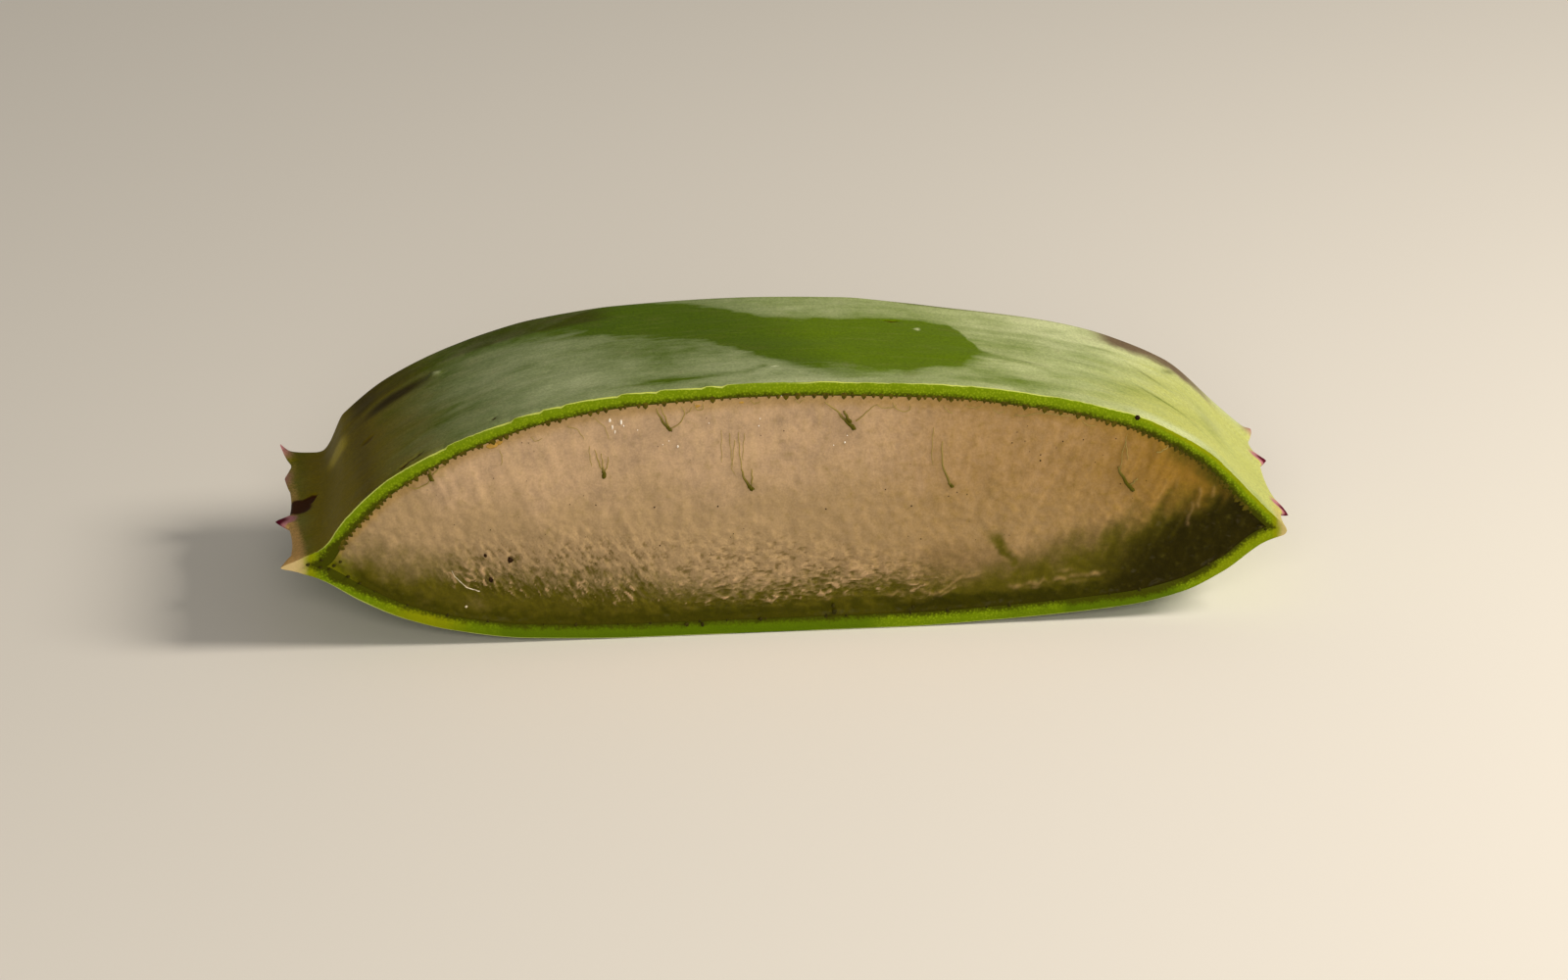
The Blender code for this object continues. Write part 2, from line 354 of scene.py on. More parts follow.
fleshFinish = {
    "outer": "6c8604",
    "speckle": "a9bf28",
    # darker green for the painted shading on the lower band of the cut
    "paintedShadingBelow": "567004",
    "yellow": "868f04",
    "depth": "3d4202",
    "pale": "c9b583",
    "cuticle": "bccb68",
    "cellSize": 0.2,
    "roughness": 0.42,
}


def makeFleshMaterial():
    # green rind tissue cut with a knife: moist, its cells like fine grains, darker towards the gel
    material, tree, shader, place = startMaterial("cutGreenRind")
    cells = addNode(tree, "TexVoronoi", {"Vector": place, "Scale": 1.0 / fleshFinish["cellSize"]})
    cloud = addNode(tree, "TexNoise", {"Vector": place, "Scale": 1.1, "Detail": 4.0})
    grainy = addNode(tree, "Math", {0: cells, 1: 0.75, 2: cloud}, operation="MULTIPLY_ADD")
    bright = addNode(tree, "MapRange", {0: cells, 1: 0.05, 2: 0.5, 3: 0.45, 4: 0.0})
    colour = addNode(tree, "Mix", {0: bright, 6: fleshFinish["outer"], 7: fleshFinish["speckle"]}, 2,
                     data_type="RGBA")
    colour = layColours(tree, colour, fleshFinish, (
        ("paintedShadingBelow", cloud, 0.5, 0.0, 1.0, 1.0), ("yellow", cloud, 0.4, 0.0, 1.0, 1.0),
        ("depth", grainy, 0.4, 0.65, 1.15, 1.0), ("pale", cloud, 0.6, 0.1, 0.9, 1.0),
        ("cuticle", cloud, 0.2, 0.3, 0.8, 1.0),
    ))
    setInputs(tree, shader, {
        "Base Color": colour,
        "Roughness": fleshFinish["roughness"],
        "Normal": addNode(tree, "Bump", {"Height": cells, "Strength": 0.35, "Distance": 0.05 * mm}),
        "IOR": 1.38,
        "Specular IOR Level": 0.06,
    })
    return material


gelFinish = {
    "beige": "bea384",
    "blotch": "a08a74",
    "streak": "c8ae85",
    "lower": "a08a66",
    "amber": "8c6c26",
    # painted shading just below the upper rind
    "shadingBelowRind": "94762c",
    "hollow": "7b6943",
    "veil": "7d6844",
    "olive": "55500f",
    "deep": "393900",
    "corner": "272302",
    "crest": "c4a581",
    "ridge": "ac9062",
    "leafy": "6f7408",
    "streakSpacing": 0.7,
    "roughness": 0.32,
}


def makeGelMaterial():
    # clear parenchyma full of water, freshly cut: wet, pinkish beige, olive where it thins out over the rind
    material, tree, shader, place = startMaterial("wetLeafGel")
    fan = addNode(tree, "Attribute", {}, "Vector", attribute_name="grain")
    torn, lean = (addNode(tree, "Attribute", {}, "Fac", attribute_name=name) for name in ("torn", "lean"))
    along = addNode(tree, "Mapping", {"Vector": fan, "Scale": (1.0 / gelFinish["streakSpacing"], 0.22, 1.0)})
    streaks = addNode(tree, "TexNoise", {"Vector": along, "Scale": 1.0, "Detail": 3.0})
    # soft grey clouds of 2 to 3 mm
    blotches = addNode(tree, "TexNoise", {"Vector": place, "Scale": 0.45, "Detail": 7.0, "Roughness": 0.72})
    mottle = addNode(tree, "TexNoise", {"Vector": place, "Scale": 1.6, "Detail": 4.0})
    grit = addNode(tree, "TexNoise", {"Vector": place, "Scale": 6.0, "Detail": 2.0})
    # tears: slanting strokes of 0.3 by 0.8 mm on the left, elsewhere almost level lumps of 0.3 by 0.6 mm
    strokes, lumps = (
        addNode(tree, "TexNoise", {"Scale": 1.0, "Detail": 3.0, "Vector": addNode(
            tree, "Mapping", {"Vector": place, "Rotation": (0.0, turn, 0.0), "Scale": size},
            vector_type="TEXTURE")})
        for turn, size in ((-0.6, (0.28, 4.0, 0.62)), (0.0, (0.5, 4.0, 0.27))))
    tears = addNode(tree, "Mix", {0: lean, 2: lumps, 3: strokes})
    # outside the torn belt the border of the olive zone is soft
    border = addNode(tree, "Mix", {0: torn, 2: blotches, 3: tears})
    share = addNode(tree, "MapRange", {0: blotches, 1: 0.42, 2: 0.66, 4: 0.75})
    colour = addNode(tree, "Mix", {0: share, 6: gelFinish["beige"], 7: gelFinish["blotch"]}, 2,
                     data_type="RGBA")
    share = addNode(tree, "MapRange", {0: streaks, 1: 0.48, 2: 0.8, 4: 0.35})
    colour = addNode(tree, "Mix", {0: share, 6: colour, 7: gelFinish["streak"]}, 2, data_type="RGBA")
    colour = layColours(tree, colour, gelFinish, (
        ("lower", mottle, 0.5, 0.0, 1.0, 0.8), ("amber", mottle, 0.3, 0.0, 1.0, 1.0),
        ("shadingBelowRind", mottle, 0.5, 0.0, 1.0, 0.5), ("hollow", tears, 1.1, 0.15, 0.85, 1.0),
        ("veil", mottle, 0.5, 0.0, 1.0, 1.0), ("olive", border, 1.1, 0.0, 1.0, 1.0),
        ("deep", mottle, 0.6, 0.0, 1.0, 1.0), ("corner", mottle, 0.3, 0.0, 1.0, 1.0),
        ("crest", tears, 1.0, 0.15, 0.85, 0.65), ("ridge", mottle, 0.5, 0.0, 0.9, 0.6),
        ("leafy", mottle, 0.9, 0.0, 1.0, 0.8),
    ))
    fine = addNode(tree, "MapRange", {0: grit, 1: 0.3, 2: 0.7, 3: 0.92, 4: 1.08})
    gently = addNode(tree, "Math", {0: mottle, 1: 0.4}, operation="MULTIPLY")
    rough = addNode(tree, "Math", {0: tears, 1: torn, 2: gently}, operation="MULTIPLY_ADD")
    setInputs(tree, shader, {
        "Base Color": addNode(tree, "VectorMath", {0: colour, "Scale": fine}, operation="SCALE"),
        "Roughness": gelFinish["roughness"],
        "Normal": addNode(tree, "Bump", {"Height": rough, "Strength": 0.9, "Distance": 0.2 * mm}),
        "IOR": 1.34,
        "Specular IOR Level": 0.08,
    })
    return material


# Small things on the cut: two colours, roughness and the attribute or noise that mixes them
smallFinishes = {
    "dampPlantFibre": ("998a50", "4d4a08", 0.5, "stout"),
    "beadFibre": ("3a3604", "585008", 0.5, ""),
    "dampDab": ("292703", "3a3607", 0.5, ""),
    "driedYellowSap": ("a8843a", "b89448", 0.5, ""),
    "whiteFibre": ("c9bfa6", "efe8d8", 0.6, ""),
    # white domes painted as glints of light on the wet gel
    "paintedGlintWhite": ("e9e4da", "ffffff", 0.1, ""),
    "darkSpeck": ("1a0c02", "2e1c06", 0.5, ""),
}


def makeSmallMaterial(name):
    # colour clouded over a few tenths of a millimetre, or thin threads lighter than stout ones
    first, second, roughness, mask = smallFinishes[name]
    material, tree, shader, place = startMaterial(name)
    cloud = addNode(tree, "TexNoise", {"Vector": place, "Scale": 2.5, "Detail": 3.0})
    if mask:
        share = addNode(tree, "Attribute", {}, "Fac", attribute_name=mask)
    else:
        share = addNode(tree, "MapRange", {0: cloud, 1: 0.35, 2: 0.65})
    setInputs(tree, shader, {
        "Base Color": addNode(tree, "Mix", {0: share, 6: first, 7: second}, 2, data_type="RGBA"),
        "Roughness": roughness,
        "Normal": addNode(tree, "Bump", {"Height": cloud, "Strength": 0.2, "Distance": 0.05 * mm}),
        "Specular IOR Level": 0.5 if roughness < 0.2 else 0.08,
    })
    return material


# The green rind

rind = {
    "thickness": 1.2,
    "pointsAcross": 330,
    "crowding": 0.7,              # how much closer the points lie at the margins
    "edgeRounding": 0.35,
    "skinRings": 100,
    "firstRings": (0.0, 0.05, 0.14, 0.3),  # their depth, close together at the near edge
    "lastRing": 0.2,              # and how far the last but one lies before the far edge
    "wallRings": 8,
    "bandSteps": (0.0, 0.04, 0.14, 0.28, 0.44, 0.6, 0.75, 0.88, 1.0),
    "bevel": 0.03,
    "chipWidth": 0.08,
    # the knife tore the cuticle in small steps: places across the leaf where each step ends
    "chipSteps": (-33.0, -27.5, -22.2, -19.7, -18.0, -13.7, -10.4, -6.9, -5.4, 2.0, 5.5, 7.9, 14.0, 21.0,
                  27.0),
    "chipSink": 2.0,              # how far the edge sinks in for each millimetre of a chip
    "chipFade": (1.0, 0.95, 0.75, 0.4),    # and how much of that the first rings of the skin take on
    "waviness": 0.05,
    "scarDepth": 0.2,
    "bulge": (0.08, 0.05),        # how far the cut bands bulge out, and how uneven that is
    # side, depth, reach, lean along the leaf, rise, half base, strength of its colour;
    # the first is the stub of a tooth that the near cut went through
    "teeth": (
        (-1.0, 0.0, 0.6, 0.0, -0.1, 1.5, 0.12), (-1.0, 8.4, 1.0, 0.0, 0.1, 0.85, 1.0),
        (-1.0, 17.2, 0.22, 0.2, 0.0, 2.6, 0.3), (-1.0, 22.2, 0.6, 0.0, 1.2, 1.2, 0.4),
        (1.0, 4.8, 0.6, -0.5, -0.4, 0.8, 1.0), (1.0, 15.6, 0.62, 0.0, 0.1, 0.85, 1.0),
        (1.0, 21.8, 0.35, 0.2, 0.5, 1.4, 0.35),
    ),
    "toothBlunt": 0.3,
    "toothRoot": 1.3,
    "toothFlattening": 0.6,
    "knob": (0.28, -27.6, 0.5, 6.2, 0.5),  # height, then middle and width across the leaf, and along it
    # how bright the edge of the cuticle is, and how dark the painted shading on the lower part of the cut is,
    # across the leaf
    "brightEdge": ((-38.5, 0.3), (-37.0, 0.9), (-6.0, 1.0), (-4.0, 0.4), (0.0, 0.4), (3.0, 0.8), (30.0, 0.8),
                   (33.0, 0.3)),
    "shadedBelow": ((-33.0, 0.0), (-27.0, 0.6), (-24.0, 0.6), (-22.0, 1.1), (-17.0, 1.1), (-14.0, 1.0),
                    (6.0, 1.0), (8.0, 0.2), (16.0, 0.2), (18.0, 0.5), (22.0, 0.5), (23.0, 0.95), (31.0, 0.95),
                    (33.0, 0.0)),
}


def chipSize(across):
    # the bevel at the near edge widens up to each step and then drops back
    steps = np.array(rind["chipSteps"])
    phase = np.interp(across, steps, np.arange(len(steps)))
    torn = ramp(steps[0], steps[0] + 3.0, across) * ramp(8.0, -4.0, across)
    torn = np.maximum(torn, 0.35 * (across > steps[0]) * (across < steps[-1]))
    ragged = 0.02 * np.abs(layeredNoise(across * 1.9, across * 0.0, 31))
    return rind["bevel"] + torn * rind["chipWidth"] * (phase % 1.0) ** 1.6 + ragged


def outerLoop():
    # over the top from left to right and back underneath, with round margins
    t = np.linspace(0.0, 1.0, rind["pointsAcross"])
    x = leftEdge + (rightEdge - leftEdge) * (t - rind["crowding"] * np.sin(math.tau * t) / math.tau)
    upper, lower = insetHeights(x, 0.0)
    away = np.clip(np.minimum(x - leftEdge, rightEdge - x) / rind["edgeRounding"], 0.0, 1.0)
    half = (upper - lower) / 2 * np.sqrt(1.0 - (1.0 - away) ** 2)
    middle = (upper + lower) / 2
    return np.concatenate([x, x[-2:0:-1]]), np.concatenate([middle + half, (middle - half)[-2:0:-1]])


def innerLoop(across, inset):
    # points opposite the outer ones, which crowd together towards the two inner corners
    left, right = insetEnds(inset)
    outerEnd = np.where(across < 0.0, leftEdge, rightEdge)
    innerEnd = np.where(across < 0.0, left, right)
    inner = across * (1.0 - (1.0 - innerEnd / outerEnd) * (across / outerEnd) ** 4)
    count = rind["pointsAcross"]
    upper, lower = insetHeights(inner[:count], inset)
    lower, upper = np.minimum(lower, upper), np.maximum(lower, upper)
    return inner, np.concatenate([upper, lower[-2:0:-1]])


def outward(across, height):
    # unit direction square to the loop, pointing out of the leaf
    alongX, alongZ = (np.roll(line, -1) - np.roll(line, 1) for line in (across, height))
    size = np.hypot(alongX, alongZ)
    return -alongZ / size, alongX / size


def drawTeeth(points, across, share):
    # each tooth pulls the margin out: by its reach at the tip, less along the margin and into the leaf,
    # and flattens, leans and rises as it goes; gives the depth of colour at each point
    tint = np.zeros(points.shape[:2])
    blunt = rind["toothBlunt"]
    for side, depth, reach, lean, rise, halfBase, strength in rind["teeth"]:
        end = 0 if side < 0.0 else -1
        edge = leaf["upperOutline"][end][0]
        middle = (leaf["upperOutline"][end][1] + leaf["lowerOutline"][end][1]) / 2
        spine = placeInLeaf(edge, middle, share)[..., 2]
        inward = np.abs(edge - across)
        away = np.abs(share * leaf["length"] - depth) / halfBase
        pull = np.clip(1.0 + blunt - np.sqrt(away ** 2 + blunt ** 2), 0.0, 1.0) * ramp(1.05, 0.8, away)
        pull = pull * np.clip(1.0 - inward / rind["toothRoot"], 0.0, 1.0) * (across * side > 0.0)
        points[..., 0] += side * reach * pull
        points[..., 1] += lean * pull ** 2
        flatter = 1.0 - rind["toothFlattening"] * pull
        points[..., 2] = spine + (points[..., 2] - spine) * flatter + rise * pull ** 2
        tint = np.maximum(tint, pull * strength)
    return tint


# Marks on the upper skin, in the part's frame
skinMarks = {
    # lines as (across, along): both sides of the rubbed patch and the middle of a wiped stripe
    "patchFar": ((-19.5, 7.4), (-17.5, 8.6), (-15.6, 10.0), (-13.8, 11.3), (-11.3, 11.5), (-6.6, 9.8),
                 (-3.5, 8.0), (-0.5, 5.2), (2.6, 4.5), (7.6, 5.2), (12.0, 5.9), (14.6, 5.2), (15.4, 3.0),
                 (16.0, 0.0), (16.5, -2.0), (17.5, -2.8), (19.5, -3.2), (22.5, -6.1)),
    "patchNear": ((-19.5, 6.2), (-17.5, 5.6), (-15.1, 4.3), (-11.2, 2.6), (-5.8, 0.6), (-2.8, -3.5),
                  (-2.0, -5.0), (-0.3, -6.6), (1.7, -9.0), (4.5, -10.8), (7.7, -10.0), (10.5, -8.3),
                  (13.5, -6.5), (16.0, -4.2), (17.5, -3.3), (19.5, -3.2), (22.5, -5.6)),
    "patchEnds": (-17.0, 22.5),
    "patchEdges": (1.6, 0.8, 0.4, 1.0),    # how sharp they are: far, near, left and right
    "wipe": ((-15.5, -10.5), (-13.0, -10.1), (-8.3, -9.8), (-3.5, -9.0), (-1.2, -7.2)),
    "wipeEnds": (-15.0, -1.5),
    "unrubbed": -6.0,             # value of the rub mask where nothing is rubbed
    "olive": ((-34.0, 1.0), (-32.0, 0.68), (-30.0, 0.5), (-26.0, 0.2), (-20.0, 0.0)),   # across, strength
    # single spots: across, along, half length, half width, strength
    "darkSpots": (
        (9.9, 5.1, 0.6, 0.22, 0.8), (-31.1, -11.2, 0.4, 0.2, 0.9), (-30.3, -10.9, 0.5, 0.2, 0.9),
        (-29.7, -10.6, 0.2, 0.25, 0.8), (-23.8, -10.2, 0.15, 0.25, 1.0), (-33.4, 0.6, 0.5, 0.5, 0.4),
    ),
    "paleSpots": ((11.8, 3.1, 0.35, 0.4, 0.75), (-0.9, -7.9, 0.12, 0.2, 1.0), (-27.4, 6.2, 0.3, 0.35, 0.3)),
    # soft marks: strength, then middle and width across the leaf, and along it; the smears also have a slope
    "amber": (1.15, -35.7, 0.8, 5.2, 1.9),
    "thickWax": (0.22, -17.5, 5.5, -7.5, 3.5),
    "thinWax": (-0.2, -11.5, 4.5, -1.5, 2.6),
    # the smears are dark marks, except the seventh, broad at the right end, which is painted shading on the
    # slope rounding away
    "smears": (
        (0.05, 1.05, -30.9, 3.2, 6.1, 1.3), (1.47, 0.5, 33.3, 0.9, 7.0, 0.8),
        (-0.6, 0.45, 30.6, 1.6, -3.6, 0.45), (-1.0, 0.4, 30.8, 1.5, 2.0, 0.5),
        (-0.7, 0.4, 32.2, 1.5, -4.7, 0.4), (-0.8, 0.35, 33.6, 1.0, -6.4, 0.3),
        (0.0, 0.35, 35.4, 1.5, -1.0, 4.5), (-0.12, 0.35, 24.5, 2.2, -1.0, 0.3),
        (-0.35, 0.4, 20.5, 2.4, -3.6, 0.25), (0.2, 0.3, 27.0, 1.4, 5.2, 0.3),
    ),
    # the scar on the left flange: its round body as across, along and radii, and its horn as across, along,
    # slope, width and where it ends
    "scarBody": (-39.3, -1.0, 1.1, 1.6),
    "scarHorn": (-38.9, -0.5, 1.1, 0.85, -38.0),
    # areas: from where to where each sets in across the leaf, fades out again, and sets in along the leaf:
    # a dark band of painted shading and a thin dark line along the far edge, the bruise, and a stripe near
    # the right end, where whiter wax is partly a painted highlight
    "farBand": ((-35.0, -32.5), (-11.0, -15.0), (7.2, 8.6)),
    "farLine": ((9.0, 13.0), (30.0, 26.0), (10.2, 11.0)),
    "bruise": ((25.0, 30.0), (39.5, 34.0), (6.2, 9.8)),
    "stripe": ((26.0, 29.0), (36.0, 33.0), None),
    # areas with more or less wax, with how much in front; the seventh, along the near cut at the right end,
    # is partly a painted highlight
    "waxAreas": (
        (-0.18, (-22.0, -30.0), None, None), (-0.22, (-12.0, -20.0), None, (5.0, 8.5)),
        (0.15, (-9.0, -4.0), (10.0, 4.0), (-4.5, -7.0)), (0.12, (-4.0, 2.0), None, (4.5, 7.5)),
        (0.1, (13.0, 24.0), None, None), (0.33, (13.0, 24.0), None, (-9.0, 2.0)),
        (0.24, (22.0, 27.0), (34.0, 31.0), (-8.6, -10.8)), (0.06, (8.0, 14.0), None, (-3.0, -6.0)),
        (-0.17, (16.0, 20.0), (33.0, 26.0), (-5.0, 2.0)), (0.09, (-11.0, -7.0), (16.0, 12.0), (-5.5, -9.0)),
        (0.09, (8.0, 12.0), (19.0, 15.0), (-7.0, -10.0)),
    ),
}


def spotField(spots, x, y):
    # the strongest of some soft ellipses at each point
    field = np.zeros(x.shape)
    for spotX, spotY, halfLength, halfWidth, strength in spots:
        away = np.hypot((x - spotX) / halfLength, (y - spotY) / halfWidth)
        field = np.maximum(field, strength * ramp(1.35, 0.65, away))
    return field


def areaShare(area, x, y):
    # 1 inside an area and 0 outside, where None is no limit
    return math.prod(ramp(*span, place) for span, place in zip(area, (x, x, y)) if span)


def markSkin(points):
    # masks of the marks on the upper skin at each point, by its place across and along the leaf
    x, y, z = points[..., 0], points[..., 1], points[..., 2]
    top, side = ramp(7.0, 7.8, z), ramp(1.5, 7.6, z)
    patchFar, patchNear, wipeMiddle, olive = (alongLine(skinMarks[name], x)
                                              for name in ("patchFar", "patchNear", "wipe", "olive"))
    # the patch ends sharply on the far side and fades out on the near one and on the left
    left, right = skinMarks["patchEnds"]
    edges = zip(skinMarks["patchEdges"], (patchFar - y, y - patchNear, x - left, right - x))
    patch = np.minimum.reduce([sharpness * inside for sharpness, inside in edges])
    patch = patch + 0.4 * layeredNoise(x * 0.5, y * 0.8, 33)
    left, right = skinMarks["wipeEnds"]
    wipe = 0.6 - 1.5 * np.abs(y - wipeMiddle) - 0.5 * ramp(-9.0, -2.0, x) - 1.3 * ramp(-9.5, -14.0, x)
    wipe = np.where((x > left) & (x < right), wipe, skinMarks["unrubbed"])
    # painted shading: the dark band, and a soft fold where the dome meets the flange
    darkMarksAndShade = 0.55 * areaShare(skinMarks["farBand"], x, y) * (1.0 - 0.5 * hump(x, -27.5, 2.2))
    darkMarksAndShade = darkMarksAndShade + 0.4 * hump(x, -34.0, 1.2)
    smears = np.zeros(x.shape)
    for slope, *smear in skinMarks["smears"]:
        smears = np.maximum(smears, bellAt(smear, x, y - slope * (x - smear[1])))
    darkMarksAndShade = np.maximum.reduce([darkMarksAndShade, smears, 0.7 * areaShare(skinMarks["farLine"], x, y)])
    # the horn starts at the middle of the scar's body and tapers off within 0.6 mm of its end
    bodyX, bodyY, bodyLength, bodyWidth = skinMarks["scarBody"]
    hornX, hornY, hornSlope, hornWidth, hornEnd = skinMarks["scarHorn"]
    body = np.hypot((x - bodyX) / bodyLength, (y - bodyY) / bodyWidth)
    horn = np.abs(y - hornY - hornSlope * (x - hornX)) / hornWidth
    horn = horn + np.maximum(0.0, (x - hornEnd) * 2.5) + (x < bodyX) * 3.0
    scar = np.maximum(ramp(1.3, 0.65, body), ramp(1.4, 0.6, horn) * (x < hornEnd + 0.6))
    # wax: clouds and wiping strokes, thin in a brushed belt left of the middle
    bend = latticeNoise(x * 0.12, y * 0.16, 3)
    contrast = ramp(8.0, 17.0, x)
    wax = 0.36 + (0.08 + 0.06 * contrast) * layeredNoise(x * 0.2 + bend, y * 0.7 + 1.5 * bend, 21, 4)
    wax = wax + (0.09 + 0.08 * contrast) * layeredNoise(x * 0.11, y * 0.22, 25, 4)
    wax = wax + bellAt(skinMarks["thickWax"], x, y) + bellAt(skinMarks["thinWax"], x, y)
    for strength, *area in skinMarks["waxAreas"]:
        wax = wax + strength * areaShare(area, x, y)
    # a stripe of whiter wax along the near cut at the right end, partly a painted highlight
    stripe = areaShare(skinMarks["stripe"], x, y) * hump(y, -11.0, 1.0)
    wax = wax + 0.2 * stripe - 0.9 * smears * ramp(24.0, 29.0, x)
    # yellower towards the right end: partly the leaf's own yellowing, partly painted light where the key
    # light falls
    yellow = 0.8 * ramp(22.0, 36.0, x - 0.35 * y) * ramp(12.0, 7.0, y) * (1.0 - 0.7 * stripe)
    yellow = yellow * (1.0 - 0.4 * ramp(-9.0, -11.0, y)) * (1.0 - np.minimum(smears, 1.0))
    # painted light, rising towards the right end where the key light falls
    paintedLight = ramp(-4.0, 22.0, x + 0.3 * y) * (1.0 - 0.32 * hump(x, 23.0, 5.5) * ramp(-4.0, 3.0, y))
    bruise = areaShare(skinMarks["bruise"], x, y + 0.7 * layeredNoise(x * 0.5, y * 0.5, 29))
    return {
        "rub": np.where(top > 0.5, np.maximum(patch, wipe), skinMarks["unrubbed"]),
        "wax": wax + 1.6 * top * spotField(skinMarks["paleSpots"], x, y),
        "paintedLight": paintedLight * side,
        "darkMarksAndShade": darkMarksAndShade * top,
        "olive": olive * (0.6 + 0.4 * ramp(-39.5, -37.0, x)) * top,
        "yellow": yellow * side,
        "amber": bellAt(skinMarks["amber"], x, y) * top,
        "bruise": bruise * top,
        "scar": np.maximum(scar, spotField(skinMarks["darkSpots"], x, y)) * top,
    }


def makeRind(skin, flesh):
    # one closed surface: round the outline one way, round the section of the rind the other way
    across, height = outerLoop()
    normalX, normalZ = outward(across, height)
    innerX, innerZ = innerLoop(across, rind["thickness"])
    onTop = np.arange(len(across)) < rind["pointsAcross"]
    edgeAway = np.minimum(across - across.min(), across.max() - across)
    marginFade = ramp(0.0, 2.5, edgeAway)
    chip = np.where(onTop, chipSize(across), rind["bevel"]) * (0.35 + 0.65 * marginFade)

    # outer skin, from the near edge to the far one
    *first, start = rind["firstRings"]
    even = np.linspace(start, leaf["length"] - rind["lastRing"], rind["skinRings"] - len(first) - 1)
    steps = np.concatenate([first, even, [leaf["length"]]])[:, None] / leaf["length"]
    nearStart, farEnd = chip / leaf["length"], 1.0 - rind["bevel"] / leaf["length"]
    share = nearStart + (farEnd - nearStart) * steps
    skinPoints = placeInLeaf(across, height, share)
    marks = markSkin(skinPoints)
    x, y = skinPoints[..., 0], skinPoints[..., 1]
    wave = rind["waviness"] * layeredNoise(x * 0.12 + 5.0, y * 0.35, 11)
    wave += bellAt(rind["knob"], x, y)
    wave -= rind["scarDepth"] * marks["scar"]
    sunk = rind["chipSink"] * np.maximum(chip - rind["bevel"], 0.0)
    wave[:len(rind["chipFade"])] -= np.array(rind["chipFade"])[:, None] * sunk
    wave = np.where(height > 1.0, wave, 0.0) * marginFade
    skinPoints[..., 0] += normalX * wave
    skinPoints[..., 2] += normalZ * wave
    tint = drawTeeth(skinPoints, across, share)

    # cut bands, from the skin to the inner wall
    w = np.array(rind["bandSteps"])[:, None]

    def band(bevel, atShare, sign):
        x = (across - normalX * bevel) * (1 - w) + innerX * w
        z = (height - normalZ * bevel) * (1 - w) + innerZ * w
        points = placeInLeaf(x, z, atShare)
        drawTeeth(points, x, np.full(x.shape, atShare))
        bulge, uneven = rind["bulge"]
        bulge = (bulge + uneven * layeredNoise(x * 0.9, z * 0.9, 17)) * np.sin(math.pi * w)
        points[..., 1] += sign * bulge * marginFade
        tip = np.minimum(x - leftEdge, (rightEdge - x) * 1.7)
        return points, np.clip((2.0 - tip) / 1.4, 0.0, 1.0), np.clip((3.0 - tip) / 1.3, 0.0, 1.0)

    farPoints, farPale, _ = band(rind["bevel"], 1.0, 1.0)
    nearPoints, nearPale, nearTip = band(chip + sunk, 0.0, -1.0)
    wallShare = np.linspace(1.0, 0.0, rind["wallRings"] + 2)[1:-1, None]
    wallPoints = placeInLeaf(innerX, innerZ, wallShare)
    points = np.concatenate([skinPoints, farPoints, wallPoints, nearPoints[::-1]])
    rows, columns = points.shape[:2]
    skinRows, bandRows = len(skinPoints), len(w)

    full = {name: np.zeros((rows, columns))
            for name in (*marks, "tooth", "depth", "cuticle", "pale", "paintedShadingBelow")}
    for name, values in marks.items():
        full[name][:skinRows] = values
    full["rub"][skinRows:] = skinMarks["unrubbed"]
    full["tooth"][:skinRows] = tint
    full["depth"][skinRows:skinRows + bandRows] = w
    full["depth"][-bandRows:] = w[::-1]
    full["depth"][skinRows + bandRows:-bandRows] = 1.0
    full["cuticle"][[0, skinRows - 1, skinRows, -1]] = alongLine(rind["brightEdge"], across)
    # towards both ends the dark inner part takes up more of the cut
    darker = 0.2 * ramp(22.0, 34.0, across) * np.where(onTop, 1.0, ramp(36.0, 34.0, across))
    darker = darker + 0.25 * ramp(-32.0, -35.5, across) + 0.2 * hump(across, -37.6, 1.0)
    darker = darker + 0.15 * ~onTop * ramp(21.0, 24.0, across) * ramp(32.0, 30.0, across)
    full["depth"][-bandRows:] += darker
    # painted shading on the lower band of the cut, as dark as shadedBelow gives it across the leaf
    full["paintedShadingBelow"][:] = alongLine(rind["shadedBelow"], across) * ~onTop
    yellowed = hump(across, -29.5, 3.0) * ~onTop + 0.45 * ramp(32.0, 34.5, across) * ~onTop
    # painted light: the cut is painted yellower next to the skin at the right end, where the key light falls
    paintedLight = 0.7 * ramp(26.0, 31.0, across) * onTop * ramp(0.4, 0.1, w[::-1])
    full["yellow"][-bandRows:] = np.maximum(yellowed + paintedLight, nearTip[::-1])
    nearShare = ramp(0.0, 0.3, share)
    full["pale"][:skinRows] = (ramp(2.4, 0.4, edgeAway) * (1.0 - nearShare)
                               + ramp(1.6, 0.2, edgeAway) * nearShare * (0.9 - 0.6 * share))
    full["pale"][:skinRows] *= np.where(across > 0.0, 0.5, 1.0)
    full["pale"][skinRows:skinRows + bandRows] = farPale
    full["pale"][-bandRows:] = nearPale[::-1] * np.where(across > 0.0, 0.65, 1.0)

    material = np.where(np.arange(rows) < skinRows - 1, 0, 1)
    piece = makePiece("greenRind", points, [gridFaces(rows, columns, True, True)], [skin, flesh],
                      full, np.repeat(material, columns))
    piece.data.set_sharp_from_angle(angle=math.radians(50))
    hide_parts("rind")


# The gel

